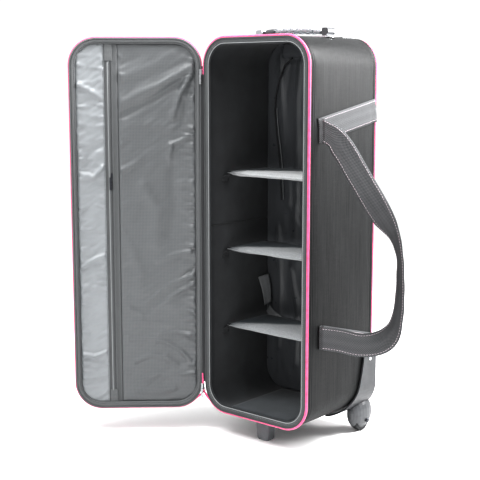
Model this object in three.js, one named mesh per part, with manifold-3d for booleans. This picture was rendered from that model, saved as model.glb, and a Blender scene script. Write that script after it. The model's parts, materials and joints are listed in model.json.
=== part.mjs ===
// A tall soft-sided trolley case for salon and studio kit, standing on two rear wheels and one front foot.
// Its front is a shallow lid on a fabric hinge, shown swung open. All sizes are in millimetres, +Z is up,
// the front faces -Y, and the origin is the centre of the front foot's bottom face.
import * as THREE from "three";
import { mergeVertices } from "three/addons/utils/BufferGeometryUtils.js";
import Module from "manifold-3d";

const wasm = await Module();
wasm.setup();

// Driving dimensions.
const CASE_W = 266; // between the centre lines of the side pipings
const CASE_H = 770; // between the centre lines of the top and bottom pipings
const CORNER_R = 55; // outline's corner radius, on the piping's centre line
const BASE_Z = 50; // bottom piping's centre line above the floor
const FRONT_Y = -38; // front piping's centre line
const REAR_Y = 188; // rear piping's centre line
const PIPING_R = 3;
const GAP = 0.3; // running gap between pieces that touch

const TOP_Z = BASE_Z + CASE_H;
const HALF_W = CASE_W / 2;
const SKIN = 0.5; // outer skin lies this far inside the piping's centre line
const WALL_T = 4.2;
const LINING_T = 1.5;
const INNER_W = HALF_W - SKIN - WALL_T - GAP - LINING_T; // half width inside the lining
const TAPE_T = 2;
const TAPE_IN = 13.5; // case zip tape's inner edge, measured in from the piping's centre line

const HINGE_X = -HALF_W - 3.5;
const HINGE_Y = FRONT_Y - 1.5;
const LID_OPEN_DEG = 136.8; // from closed to the pose it is modelled in
const LID_Y = FRONT_Y - 2 * PIPING_R - 0.6; // closed lid's inner piping
const LID_DEPTH = 22; // between the lid's two pipings
const LID_TAPE_IN = 12;
const HINGE_LOW_Z = 108; // the pipings leave off along the hinge, between these heights
const HINGE_HIGH_Z = 760;
const LID_HINGE_LOW_Z = 70; // the lid's inner piping leaves off lower down, to swing past the zip slider

const DIVIDER_T = 12;
const DIVIDER_TOPS = { top: 551, middle: 391, bottom: 227 };
const REAR_LINING_Y = 156;

const WHEEL_SIDES = 24;
const WHEEL_Z = 24; // axle height, and the wheel's radius across its flats
const WHEEL_X = 113;
const WHEEL_Y = 177;
const WHEEL_W = 18;

const HANDLE_Y = 87; // carry handle sits over the middle of the case's depth
const TUBE_X = 58;
const TUBE_Y = 172;

const COLOURS = {
  outer: [0x4a4b4c, 0.85, 0],
  piping: [0xee4f8b, 0.5, 0],
  tape: [0x5d6061, 0.8, 0],
  felt: [0x1c1e20, 0.95, 0],
  nylon: [0x232629, 0.6, 0],
  silver: [0x9a9da0, 0.45, 0],
  divider: [0xa7a9ab, 0.7, 0],
  webbing: [0x4d5052, 0.8, 0],
  moulding: [0x5a5c5f, 0.5, 0],
  tyre: [0x2f3133, 0.7, 0],
  metal: [0xc9ccce, 0.3, 0.9],
  tube: [0xb5b8bb, 0.35, 0.9],
  grip: [0xb9bcbf, 0.35, 0.4],
};

// Booleans.
function solid(geometry) {
  const bare = new THREE.BufferGeometry();
  const flat = geometry.index ? geometry.toNonIndexed() : geometry;
  bare.setAttribute("position", flat.getAttribute("position").clone());
  const merged = mergeVertices(bare, 1e-3);
  return new wasm.Manifold(
    new wasm.Mesh({
      numProp: 3,
      vertProperties: merged.attributes.position.array,
      triVerts: new Uint32Array(merged.index.array),
    }),
  );
}

function shaped(manifold) {
  const mesh = manifold.getMesh();
  const geometry = new THREE.BufferGeometry();
  geometry.setAttribute("position", new THREE.BufferAttribute(mesh.vertProperties, 3));
  geometry.setIndex(new THREE.BufferAttribute(mesh.triVerts, 1));
  return geometry;
}

const join = (...parts) => shaped(parts.map(solid).reduce((a, b) => a.add(b)));
const cut = (first, ...tools) => shaped(tools.map(solid).reduce((a, b) => a.subtract(b), solid(first)));
const common = (...parts) => shaped(parts.map(solid).reduce((a, b) => a.intersect(b)));

// Shapes and extrusions along each axis.
function box(x0, x1, y0, y1, z0, z1) {
  const made = new THREE.BoxGeometry(x1 - x0, y1 - y0, z1 - z0);
  return made.translate((x0 + x1) / 2, (y0 + y1) / 2, (z0 + z1) / 2);
}

function roundedRect(x0, x1, y0, y1, r, target = new THREE.Shape()) {
  target.moveTo(x0 + r, y0);
  target.lineTo(x1 - r, y0);
  target.absarc(x1 - r, y0 + r, r, -Math.PI / 2, 0);
  target.lineTo(x1, y1 - r);
  target.absarc(x1 - r, y1 - r, r, 0, Math.PI / 2);
  target.lineTo(x0 + r, y1);
  target.absarc(x0 + r, y1 - r, r, Math.PI / 2, Math.PI);
  target.lineTo(x0, y0 + r);
  target.absarc(x0 + r, y0 + r, r, Math.PI, 1.5 * Math.PI);
  return target;
}

function extrude(shape, depth, options = {}) {
  return new THREE.ExtrudeGeometry(shape, { depth, bevelEnabled: false, curveSegments: 6, ...options });
}

// A shape drawn in X and Z, extruded between two Y.
const alongY = (shape, y0, y1) => extrude(shape, y1 - y0).rotateX(Math.PI / 2).translate(0, y1, 0);

// A shape drawn in Y and Z, extruded between two X.
function alongX(shape, x0, x1, curveSegments = 6) {
  const turn = new THREE.Matrix4().makeBasis(
    new THREE.Vector3(0, 1, 0),
    new THREE.Vector3(0, 0, 1),
    new THREE.Vector3(1, 0, 0),
  );
  return extrude(shape, x1 - x0, { curveSegments }).applyMatrix4(turn).translate(x0, 0, 0);
}

// A shape drawn in X and Y, extruded between two Z.
const alongZ = (shape, z0, z1) => extrude(shape, z1 - z0).translate(0, 0, z0);

// The case's front outline, grown by an offset from the piping's centre line.
function outline(offset, target) {
  const w = HALF_W + offset;
  return roundedRect(-w, w, BASE_Z - offset, TOP_Z + offset, CORNER_R + offset, target);
}

function ring(outer, inner) {
  const shape = outline(outer);
  shape.holes.push(outline(inner, new THREE.Path()));
  return shape;
}

// Piping: an eight-sided cord that follows the whole outline.
function piping(y) {
  const bevel = PIPING_R * (2 - Math.SQRT2);
  const flat = PIPING_R - bevel;
  const cord = extrude(ring(flat, -flat), 2 * flat, {
    bevelEnabled: true,
    bevelThickness: bevel,
    bevelSize: bevel,
    bevelSegments: 1,
  });
  return cord.rotateX(Math.PI / 2).translate(0, y + flat, 0);
}

// Piping that leaves off along the hinge, where a fabric strip takes its place.
function hingedPiping(y, lowZ = HINGE_LOW_Z) {
  const reach = 3 * PIPING_R;
  const left = -HALF_W;
  return cut(piping(y), box(left - reach, left + reach, y - reach, y + reach, lowZ, HINGE_HIGH_Z));
}

// A flat strip swept along a line. Each station has a point, a width direction and a thickness direction.
function ribbon(stations, width, thickness) {
  const positions = [];
  const index = [];
  for (const { point, across, through } of stations) {
    for (const [a, b] of [[-1, -1], [1, -1], [1, 1], [-1, 1]]) {
      const corner = point.clone();
      corner.addScaledVector(across, (a * width) / 2).addScaledVector(through, (b * thickness) / 2);
      positions.push(corner.x, corner.y, corner.z);
    }
  }
  for (let i = 0; i + 1 < stations.length; i++) {
    for (let k = 0; k < 4; k++) {
      const [a, b] = [4 * i + k, 4 * i + ((k + 1) % 4)];
      index.push(a, b, b + 4, a, b + 4, a + 4);
    }
  }
  const last = 4 * (stations.length - 1);
  index.push(0, 2, 1, 0, 3, 2, last, last + 1, last + 2, last, last + 2, last + 3);
  const geometry = new THREE.BufferGeometry();
  geometry.setAttribute("position", new THREE.Float32BufferAttribute(positions, 3));
  geometry.setIndex(index);
  return geometry;
}

// Case body: board and foam walls under the skin, the rear panel, pipings, zip tape and linings.
const TRAY = { halfX: 74, y0: 148, y1: 184, depth: 26 }; // recess of the pull handle in the case's top
const TRAY_CLEAR = GAP + 1.5; // between the tray and the walls it passes through
const WALL_FRONT_Y = FRONT_Y + PIPING_R + GAP;
const WALL_REAR_Y = REAR_Y - PIPING_R - GAP;

// Cuts the pull handle tray's hole, down to a depth below the top, and out through the rear edge.
function trayHole(walls, depth) {
  const halfX = TRAY.halfX + TRAY_CLEAR;
  return cut(walls, box(-halfX, halfX, TRAY.y0 - TRAY_CLEAR, REAR_Y, TOP_Z - depth, TOP_Z + depth));
}

function caseShell() {
  const walls = alongY(ring(-SKIN, -SKIN - WALL_T), WALL_FRONT_Y, WALL_REAR_Y);
  return trayHole(walls, 2 * WALL_T);
}

const PANEL_CROWN = 2; // rear panel stands out this far behind the rear piping's centre line
const rearPanel = () => alongY(outline(-PIPING_R - GAP), REAR_Y - PIPING_R, REAR_Y + PANEL_CROWN);

function caseLining() {
  const outer = -SKIN - WALL_T - GAP;
  const walls = alongY(ring(outer, outer - LINING_T), WALL_FRONT_Y, WALL_REAR_Y - 2);
  return trayHole(walls, CORNER_R / 3);
}

const zipTape = (y, inner) => alongY(ring(-PIPING_R - GAP, -inner), y - TAPE_T / 2, y + TAPE_T / 2);

// Lining across the back, which stops short of the pull handle's tray.
function rearLiningPanel() {
  const half = INNER_W - 1;
  const low = BASE_Z + 9;
  const high = TOP_Z - TRAY.depth - 8;
  const shape = roundedRect(-half, half, low, high, CORNER_R - 3);
  return alongY(shape, REAR_LINING_Y, REAR_LINING_Y + 1.6);
}

// Stiff floor board on the floor lining, which takes the load and spreads it to the foot and the wheels.
const FLOOR_T = 3;

function floorBoard() {
  const flatHalf = HALF_W - CORNER_R - 1;
  const floor = BASE_Z + SKIN + WALL_T + GAP + LINING_T + GAP;
  return box(-flatHalf, flatHalf, FRONT_Y + 12, REAR_LINING_Y - 4, floor, floor + FLOOR_T);
}

const DIVIDER_FRONT_Y = 12;
const DIVIDER_CLEAR = { side: 3, rear: 9 }; // from the side walls and from the rear lining

function divider(top) {
  const w = INNER_W - DIVIDER_CLEAR.side;
  const shape = roundedRect(-w, w, top - DIVIDER_T, top, DIVIDER_T * 0.42);
  return alongY(shape, DIVIDER_FRONT_Y, REAR_LINING_Y - DIVIDER_CLEAR.rear);
}

// A tie-down strap sewn to the left wall by a tab, with a buckle at its free end.
const TIE = { x: -INNER_W, y: 146, topZ: 311, lowZ: 248, width: 18, t: 1.6 };
const TIE_TAB = { t: 2, front: 21, rear: 5 };
const TIE_FROM = new THREE.Vector3(8, 5.5, -12); // from the foot of the tab
const TIE_TO = new THREE.Vector3(47, 5.5, -38);
const BUCKLE = { start: 6, length: 18, halfY: 2.5, above: 2, below: 24 }; // measured from the strap's end

function tieTab() {
  const [y0, y1] = [TIE.y - TIE_TAB.front, TIE.y + TIE_TAB.rear];
  return box(TIE.x + GAP, TIE.x + TIE_TAB.t, y0, y1, TIE.lowZ, TIE.topZ);
}

function tieStrap() {
  const foot = new THREE.Vector3(TIE.x, TIE.y, TIE.lowZ);
  const [from, to] = [TIE_FROM, TIE_TO].map((step) => foot.clone().add(step));
  const along = to.clone().sub(from).normalize();
  const through = new THREE.Vector3(0, 1, 0);
  const across = through.clone().cross(along);
  const stations = [from, to].map((point) => ({ point, across, through }));
  return ribbon(stations, TIE.width, TIE.t);
}

function tieBuckle() {
  const x = TIE.x + TIE_TO.x + BUCKLE.start;
  const y = TIE.y + TIE_TO.y;
  const z = TIE.lowZ + TIE_TO.z;
  const { length, halfY, above, below } = BUCKLE;
  return box(x, x + length, y - halfY, y + halfY, z - below, z - above);
}

// Fabric hinge on the outside, between the two zip sliders.
const HINGE_STRIP = { out: 1.9, t: 1.3, front: 2.2, short: 16 };

function hingeStrip() {
  const { out, t, front, short } = HINGE_STRIP;
  const x = HINGE_X - out;
  return box(x, x + t, HINGE_Y - front, FRONT_Y + 6, HINGE_LOW_Z + short, HINGE_HIGH_Z - short);
}

// Main zip sliders, parked at the two ends of the hinge.
const SLIDER_ZS = { top: 752, bottom: 96 };
const SLIDER = { left: 4, right: 2, front: 5.6, rear: 1, halfZ: 6 };
const PULL = { left: 3, right: 2, front: 7.2, rear: 6.2, low: 24, high: 5 };

function sliderBody(z) {
  const { left, right, front, rear, halfZ } = SLIDER;
  return box(HINGE_X - left, HINGE_X + right, HINGE_Y - front, HINGE_Y - rear, z - halfZ, z + halfZ);
}

function sliderPull(z) {
  const { left, right, front, rear, low, high } = PULL;
  return box(HINGE_X - left, HINGE_X + right, HINGE_Y - front, HINGE_Y - rear, z - low, z - high);
}

// Webbing bands sewn along each side, and the carrying loops that leave their folded front ends.
const BAND_T = 2.4;
const BAND_X = HALF_W - SKIN + GAP;
const BANDS = {
  top: { rear: [184, 676], fold: [-8, 641] },
  bottom: { rear: [184, 189], fold: [6, 237] },
};
const WEB_W = 47;
const LOOP_T = 4;
const LOOP_DEG = 45; // loop stands out and back at this angle from the side
const FOLD_Y = -3;
const LOOP_ORIGIN = new THREE.Vector3(BAND_X + BAND_T + LOOP_T / 2 + 3 * GAP, FOLD_Y, 0);

function band({ rear, fold }) {
  const along = new THREE.Vector2(rear[0] - fold[0], rear[1] - fold[1]).normalize();
  const half = new THREE.Vector2(-along.y, along.x).multiplyScalar(WEB_W / 2);
  const shape = new THREE.Shape();
  shape.moveTo(fold[0] - half.x, fold[1] - half.y);
  shape.lineTo(rear[0], rear[1] - WEB_W / 2 / along.x);
  shape.lineTo(rear[0], rear[1] + WEB_W / 2 / along.x);
  shape.lineTo(fold[0] + half.x, fold[1] + half.y);
  shape.closePath();
  return alongX(shape, BAND_X, BAND_X + BAND_T);
}

// The loop's route in its own plane: distance out from the fold, height, and twist in degrees.
const LOOP_ROUTE = [
  [2, 641, 0],
  [22, 628, 0],
  [44, 600, 0],
  [66, 563, 0],
  [92, 520, 5],
  [120, 474, 32],
  [144, 434, 72],
  [155, 395, 86],
  [157, 350, 84],
  [156, 300, 76],
  [151, 258, 66],
  [136, 230, 34],
  [110, 217, 8],
  [76, 219, 0],
  [40, 230, 0],
  [2, 237, 0],
];
const FOLD_EASE = 48; // within this distance of the fold the webbing's width swings round to its crease

function loopStations(steps) {
  const stand = THREE.MathUtils.degToRad(LOOP_DEG);
  const out = new THREE.Vector3(Math.cos(stand), Math.sin(stand), 0);
  const up = new THREE.Vector3(0, 0, 1);
  const normal = up.clone().cross(out);
  const curve = new THREE.CatmullRomCurve3(LOOP_ROUTE.map(([s, z, twist]) => new THREE.Vector3(s, z, twist)));
  return Array.from({ length: steps + 1 }, (_, i) => {
    const here = curve.getPoint(i / steps);
    const slope = curve.getTangent(i / steps);
    const along = out.clone().multiplyScalar(slope.x).addScaledVector(up, slope.y).normalize();
    const square = normal.clone().cross(along);
    const crease = up.clone().multiplyScalar(Math.sign(square.z));
    const eased = THREE.MathUtils.smoothstep(here.x, 0, FOLD_EASE);
    const inPlane = crease.lerp(square, eased).normalize();
    const turn = THREE.MathUtils.degToRad(here.z);
    const across = inPlane.clone().multiplyScalar(Math.cos(turn)).addScaledVector(normal, Math.sin(turn));
    const through = along.clone().cross(across);
    const point = LOOP_ORIGIN.clone().addScaledVector(out, here.x).addScaledVector(up, here.y);
    return { point, across, through };
  });
}

const LOOP_STEPS = 36;
const handleLoop = () => ribbon(loopStations(LOOP_STEPS), WEB_W, LOOP_T);

// Corner guards and wheels at the rear bottom corners. All are drawn for the right side and mirrored.
const GUARD_T = 3.4;
const GUARD_IN = PIPING_R + 0.8;
const GUARD_OUT = GUARD_IN + GUARD_T;
const GUARD_REAR = REAR_Y + PIPING_R + GAP;
const GUARD_TOP_Z = 186;
const GUARD_LOW_Z = 30;
const GUARD_FRONT_Y = 92;
const GUARD_MIN_X = 84;
const FAR = 200; // past the outside of the whole case

// Side view of the guard: a sweeping front edge from its top rear down to its toe.
function guardProfile() {
  const rear = GUARD_REAR + GUARD_T;
  const side = new THREE.Shape();
  side.moveTo(154, GUARD_TOP_Z);
  side.quadraticCurveTo(142, 98, 114, 66);
  side.quadraticCurveTo(102, 50, GUARD_FRONT_Y, 44);
  side.lineTo(GUARD_FRONT_Y, GUARD_LOW_Z);
  side.lineTo(rear, GUARD_LOW_Z);
  side.lineTo(rear, GUARD_TOP_Z);
  side.closePath();
  return side;
}

function cornerGuard() {
  const blank = alongY(outline(GUARD_OUT), 0, GUARD_REAR + GUARD_T);
  const inside = alongY(outline(GUARD_IN), -FAR, GUARD_REAR);
  return cut(common(blank, alongX(guardProfile(), GUARD_MIN_X, FAR)), inside, wheelRoom());
}

// A cylinder along X, about the wheel's axle.
function axleDrum(radius, length, sides) {
  const drum = new THREE.CylinderGeometry(radius, radius, length, sides);
  return drum.rotateZ(Math.PI / 2).translate(WHEEL_X, WHEEL_Y, WHEEL_Z);
}

// The space that the wheel turns in, cut out of the guard and the fender.
const WHEEL_CLEAR = 2.4;
const wheelRoom = () => axleDrum(WHEEL_Z + WHEEL_CLEAR, WHEEL_W + 2 * WHEEL_CLEAR, WHEEL_SIDES);

const FENDER = { radii: [20, 37, 35], y: WHEEL_Y - 1, z: 39, rearY: GUARD_REAR + 9, lowZ: 5 };
const AXLE_BORE_R = 4;

function wheelFender() {
  const dome = new THREE.SphereGeometry(1, 20, 12).scale(...FENDER.radii);
  dome.translate(WHEEL_X, FENDER.y, FENDER.z);
  const room = WHEEL_W / 2 + WHEEL_CLEAR;
  const low = -FAR;
  const mouth = box(WHEEL_X - room, WHEEL_X + room, WHEEL_Y - 26, WHEEL_Y + FAR, low, WHEEL_Z);
  const bore = axleDrum(AXLE_BORE_R, FAR, 16);
  const below = box(0, FAR, 0, 2 * FAR, low, FENDER.lowZ);
  const behind = box(0, FAR, FENDER.rearY, 2 * FAR, low, FAR);
  const body = alongY(outline(GUARD_OUT + GAP), 0, 2 * FAR);
  return cut(dome, wheelRoom(), mouth, bore, below, behind, body);
}

// A profile of [radius, distance along X] turned about an axis along X.
function lathedAlongX(profile, segments, x, y, z, phase = 0) {
  const points = profile.map(([r, h]) => new THREE.Vector2(r, h));
  const turned = new THREE.LatheGeometry(points, segments).rotateY(phase);
  return turned.rotateZ(-Math.PI / 2).translate(x, y, z);
}

// Radii are across the flats, so that a flat of the tyre rests on the floor.
const TYRE = { bore: 18.4, chamfer: 2 };

function tyre() {
  const across = Math.cos(Math.PI / WHEEL_SIDES);
  const r = WHEEL_Z / across;
  const bore = TYRE.bore / across;
  const half = WHEEL_W / 2;
  const c = TYRE.chamfer;
  const profile = [
    [bore, -half],
    [r - c, -half],
    [r, -half + c],
    [r, half - c],
    [r - c, half],
    [bore, half],
    [bore, -half],
  ];
  return lathedAlongX(profile, WHEEL_SIDES, WHEEL_X, WHEEL_Y, WHEEL_Z, Math.PI / WHEEL_SIDES);
}

const HUB = { bore: 4.1, boss: 9, dish: 11, rim: 18 }; // radii

function wheelHub() {
  const half = WHEEL_W / 2;
  const profile = [
    [HUB.bore, -half - 1],
    [HUB.boss, -half - 1],
    [HUB.dish, -half + 2],
    [HUB.rim, -half + 1],
    [HUB.rim, half - 1],
    [HUB.dish, half - 2],
    [HUB.boss, half + 1],
    [HUB.bore, half + 1],
    [HUB.bore, -half - 1],
  ];
  return lathedAlongX(profile, WHEEL_SIDES, WHEEL_X, WHEEL_Y, WHEEL_Z, Math.PI / WHEEL_SIDES);
}

const AXLE = { r: 3.8, headR: 5.4, half: 20.4, head: 1.6 };

function wheelAxle() {
  const { r, headR, half, head } = AXLE;
  const profile = [
    [0, -half - head],
    [headR, -half - head],
    [headR, -half],
    [r, -half],
    [r, half],
    [headR, half],
    [r, half + head],
    [0, half + head],
  ];
  return lathedAlongX(profile, 16, WHEEL_X, WHEEL_Y, WHEEL_Z);
}

const RIVET = { y: 172, z: 161, r: 4.2, crownR: 3.4, crown: 1.4, height: 2 };

function guardRivet() {
  const x = HALF_W + GUARD_OUT + GAP;
  const profile = [
    [0, 0],
    [RIVET.r, 0],
    [RIVET.crownR, RIVET.crown],
    [0, RIVET.height],
  ];
  return lathedAlongX(profile, 14, x, RIVET.y, RIVET.z);
}

// Front foot: a tapered moulding with a flat bottom.
const FOOT = { halfX: 18, halfY: 15, cornerR: 6, height: BASE_Z - SKIN - 2.7 };
const FOOT_TAPER = { heelZ: 4, heel: 0.84, sole: 0.7 };

function frontFoot() {
  const { halfX, halfY, cornerR, height } = FOOT;
  const { heelZ, heel, sole } = FOOT_TAPER;
  const shape = roundedRect(-halfX, halfX, -halfY, halfY, cornerR);
  const foot = extrude(shape, height, { steps: 2 });
  const position = foot.getAttribute("position");
  for (let i = 0; i < position.count; i++) {
    const z = position.getZ(i);
    if (z > 0.9 * height) continue;
    const isHeel = z > 0.1 * height;
    const scale = isHeel ? heel : sole;
    position.setXYZ(i, position.getX(i) * scale, position.getY(i) * scale, isHeel ? heelZ : 0);
  }
  return foot;
}

// Carry handle on the top: a base plate, two end caps and the grip, whose tongues slide up in the caps.
const PLATE_Z = TOP_Z - SKIN + GAP;
const PLATE = { halfX: 96, halfY: 14, cornerR: 13, t: 2.6 };
const CAP = { x0: 76, x1: 92, halfY: 12, low: PLATE_Z + PLATE.t + GAP, top: PLATE_Z + 18, shoulder: 6 };
const TONGUE = { halfY: 7, low: PLATE_Z + 3.8, t: 3 };
const GRIP = { halfX: 71, halfY: 11, low: PLATE_Z + 7.4, high: PLATE_Z + 16, waves: 7, wave: 2, round: 6 };

function handlePlate() {
  const { halfX, halfY, cornerR, t } = PLATE;
  const shape = roundedRect(-halfX, halfX, HANDLE_Y - halfY, HANDLE_Y + halfY, cornerR);
  return alongZ(shape, PLATE_Z, PLATE_Z + t);
}

// A hollow cap, open towards the grip.
function handleCap() {
  const { x0, x1, halfY, low, top, shoulder } = CAP;
  const side = new THREE.Shape();
  side.moveTo(x0 + 2, low);
  side.lineTo(x1 - 3, low);
  side.quadraticCurveTo(x1 - 3, low + 4, x1, low + shoulder);
  side.quadraticCurveTo(x1 + 1, top, x1 - shoulder, top);
  side.lineTo(x0 + 3, top);
  side.quadraticCurveTo(x0, top, x0, low + shoulder);
  side.closePath();
  const body = alongY(side, HANDLE_Y - halfY, HANDLE_Y + halfY);
  const pocketY = TONGUE.halfY + 2 * GAP;
  const pocket = box(x0 - 5, x1 - 4, HANDLE_Y - pocketY, HANDLE_Y + pocketY, low + 0.5, top - 3);
  return cut(body, pocket);
}

// The grip's long view: flat on top and scalloped below.
function gripProfile() {
  const { halfX, low, high, waves, wave, round } = GRIP;
  const shape = new THREE.Shape();
  shape.moveTo(-halfX, high - round / 2);
  shape.quadraticCurveTo(-halfX, high, -halfX + round, high);
  shape.lineTo(halfX - round, high);
  shape.quadraticCurveTo(halfX, high, halfX, high - round / 2);
  const pitch = (2 * halfX) / waves;
  for (let i = 0; i < waves; i++) {
    const right = halfX - i * pitch;
    shape.lineTo(right, low + wave);
    shape.quadraticCurveTo(right - pitch / 2, low - wave, right - pitch, low + wave);
  }
  shape.closePath();
  return shape;
}

// A step down from the grip's right end, and the flat tongue that slides in the cap.
function gripTongue() {
  const [y0, y1] = [HANDLE_Y - TONGUE.halfY, HANDLE_Y + TONGUE.halfY];
  const start = GRIP.halfX - 8;
  const flat = box(start, CAP.x1 - 6, y0, y1, TONGUE.low, TONGUE.low + TONGUE.t);
  const step = box(start, GRIP.halfX - 2, y0, y1, TONGUE.low, GRIP.high - 2);
  return join(flat, step);
}

function handleGrip() {
  const bar = alongY(gripProfile(), HANDLE_Y - GRIP.halfY, HANDLE_Y + GRIP.halfY);
  const left = gripTongue().rotateZ(Math.PI).translate(0, 2 * HANDLE_Y, 0);
  return join(bar, gripTongue(), left);
}

// Telescopic pull handle, stowed flush in the top. Its tray, outer tubes and bracket stay put.
const OUTER_TUBE = { halfX: 10, halfY: 7, wall: 1, low: 330, high: TOP_Z - TRAY.depth - 3 };
const INNER_TUBE = { halfX: 8.6, halfY: 5.6, wall: 1, low: 420, high: TOP_Z - 16 };

function pullTray() {
  const { halfX, y0, y1, depth } = TRAY;
  const floor = TOP_Z - depth;
  const skinZ = TOP_Z - SKIN;
  const [wall, rim] = [2, 6];
  const body = box(-halfX, halfX, y0, y1, floor - wall, skinZ);
  const neck = box(-halfX, halfX, y0, y1, skinZ - 1, TOP_Z + 1);
  const flange = box(-halfX - rim, halfX + rim, y0 - rim, y1, skinZ + GAP, TOP_Z + 1.6);
  const recess = box(-halfX + wall, halfX - wall, y0 + wall, y1 - wall, floor, TOP_Z + 9);
  const [bx, by] = [INNER_TUBE.halfX + GAP, INNER_TUBE.halfY + GAP];
  const through = (x) => box(x - bx, x + bx, TUBE_Y - by, TUBE_Y + by, floor - 9, floor + 9);
  return cut(join(body, flange, neck), recess, through(-TUBE_X), through(TUBE_X));
}

// An upright tube of oblong section, open at both ends.
function uprightTube(x, { halfX, halfY, wall, low, high }) {
  const bored = (t, over) =>
    box(x - halfX + t, x + halfX - t, TUBE_Y - halfY + t, TUBE_Y + halfY - t, low - over, high + over);
  return cut(bored(0, 0), bored(wall, 9));
}

const BRACKET = { halfX: 82, height: 22, front: 10, cornerR: 6 };

function tubeBracket() {
  const high = OUTER_TUBE.low - GAP;
  const shape = roundedRect(-BRACKET.halfX, BRACKET.halfX, high - BRACKET.height, high, BRACKET.cornerR);
  return alongY(shape, TUBE_Y - BRACKET.front, WALL_REAR_Y);
}

const BUTTON = { halfX: 15, halfY: 5, t: 7 };

const BUTTON_WELL = { clear: 0.4, depth: 11 };

function pullGrip() {
  const high = TOP_Z + 1;
  const halfX = TRAY.halfX - 4;
  const halfY = INNER_TUBE.halfY + 3;
  const shape = roundedRect(-halfX, halfX, TUBE_Y - halfY, TUBE_Y + halfY, 6);
  const body = alongZ(shape, INNER_TUBE.high + GAP, high);
  const { clear, depth } = BUTTON_WELL;
  const [x, y] = [BUTTON.halfX + clear, BUTTON.halfY + clear];
  return cut(body, box(-x, x, TUBE_Y - y, TUBE_Y + y, high - depth, high + 9));
}

function releaseButton() {
  const { halfX, halfY, t } = BUTTON;
  const high = TOP_Z + 2;
  return box(-halfX, halfX, TUBE_Y - halfY, TUBE_Y + halfY, high - t, high);
}

// Lid, drawn closed: a shallow tray with its own pipings and tape, and a zipped pocket in its silver lining.
const LID_OUT_Y = LID_Y - LID_DEPTH;
const POCKET_Y = LID_Y - 5; // front face of the pocket lining
const ZIP_X = { low: 36, high: 63 };
const LID_SKIN = -PIPING_R - GAP;
const LID_WALL_IN = -4.6; // inner face of the lid's wall
const LID_PANEL_T = 3;

function lidShell() {
  const rear = LID_OUT_Y + PIPING_R;
  const wall = alongY(ring(-SKIN, LID_WALL_IN), rear + GAP, LID_Y - PIPING_R - GAP);
  const lip = alongY(ring(LID_SKIN, LID_WALL_IN), LID_OUT_Y, rear + 1);
  const panel = alongY(outline(LID_SKIN), LID_OUT_Y + 1 - LID_PANEL_T, LID_OUT_Y + 1);
  return join(wall, lip, panel);
}

// Part of the lining between two X, inside the lid's wall.
function lidLining(x0, x1) {
  const sheet = alongY(outline(LID_WALL_IN - GAP), POCKET_Y - LINING_T, POCKET_Y);
  return common(sheet, box(x0, x1, POCKET_Y - 2 * LINING_T, POCKET_Y + LINING_T, 0, 2 * TOP_Z));
}

function pocketTape() {
  const [low, high] = [BASE_Z + 8, TOP_Z - 8];
  return box(ZIP_X.low, ZIP_X.high, POCKET_Y - 1.6, POCKET_Y - GAP, low, high);
}

const POCKET_SLIDER_Z = 541;
const POCKET_SLIDER_X = 53;

const POCKET_SLIDER = { halfX: 4, halfZ: 7, t: 2.2 };
const POCKET_PULL = { halfX: 3, near: 2.5, far: 3.6, low: 29, high: 3 };

function pocketSlider() {
  const { halfX, halfZ, t } = POCKET_SLIDER;
  const [x, z] = [POCKET_SLIDER_X, POCKET_SLIDER_Z];
  return box(x - halfX, x + halfX, POCKET_Y, POCKET_Y + t, z - halfZ, z + halfZ);
}

function pocketPull() {
  const { halfX, near, far, low, high } = POCKET_PULL;
  const [x, z] = [POCKET_SLIDER_X, POCKET_SLIDER_Z];
  return box(x - halfX, x + halfX, POCKET_Y + near, POCKET_Y + far, z - low, z - high);
}

// Assembly.
function part(parent, name, geometry, look) {
  const [color, roughness, metalness] = COLOURS[look];
  const material = new THREE.MeshStandardMaterial({ color, roughness, metalness });
  geometry.computeVertexNormals();
  const mesh = new THREE.Mesh(geometry, material);
  mesh.name = name;
  parent.add(mesh);
  return mesh;
}

// The same piece on the right and, mirrored, on the left.
function pair(parent, name, geometry, look) {
  part(parent, name.replace("*", "right"), geometry, look);
  part(parent, name.replace("*", "left"), geometry.clone(), look).scale.x = -1;
}

const assembly = new THREE.Group();

part(assembly, "case_shell", caseShell(), "outer");
part(assembly, "rear_panel", rearPanel(), "outer");
part(assembly, "front_piping", hingedPiping(FRONT_Y), "piping");
part(assembly, "rear_piping", piping(REAR_Y), "piping");
part(assembly, "case_zip_tape", zipTape(FRONT_Y, TAPE_IN), "tape");
part(assembly, "case_lining", caseLining(), "felt");
part(assembly, "rear_lining_panel", rearLiningPanel(), "nylon");
part(assembly, "floor_board", floorBoard(), "felt");
part(assembly, "tie_strap_tab", tieTab(), "webbing");
part(assembly, "tie_strap", tieStrap(), "webbing");
part(assembly, "tie_strap_buckle", tieBuckle(), "moulding");
part(assembly, "hinge_strip", hingeStrip(), "outer");
for (const [place, top] of Object.entries(DIVIDER_TOPS)) {
  part(assembly, "divider_" + place, divider(top), "divider");
}
for (const [place, z] of Object.entries(SLIDER_ZS)) {
  part(assembly, "main_zip_slider_" + place, sliderBody(z), "metal");
  part(assembly, "main_zip_pull_" + place, sliderPull(z), "metal");
}
for (const [place, route] of Object.entries(BANDS)) {
  pair(assembly, "strap_band_*_" + place, band(route), "webbing");
}
pair(assembly, "handle_loop_*", handleLoop(), "webbing");
pair(assembly, "corner_guard_*", cornerGuard(), "moulding");
pair(assembly, "guard_rivet_*", guardRivet(), "metal");
pair(assembly, "wheel_fender_*", wheelFender(), "moulding");
pair(assembly, "wheel_axle_*", wheelAxle(), "metal");
pair(assembly, "wheel_hub_*", wheelHub(), "moulding");
pair(assembly, "wheel_tyre_*", tyre(), "tyre");
part(assembly, "front_foot", frontFoot(), "moulding");
part(assembly, "handle_base_plate", handlePlate(), "metal");
pair(assembly, "handle_cap_*", handleCap(), "grip");
part(assembly, "carry_handle_grip", handleGrip(), "grip");
part(assembly, "pull_handle_tray", pullTray(), "moulding");
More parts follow.
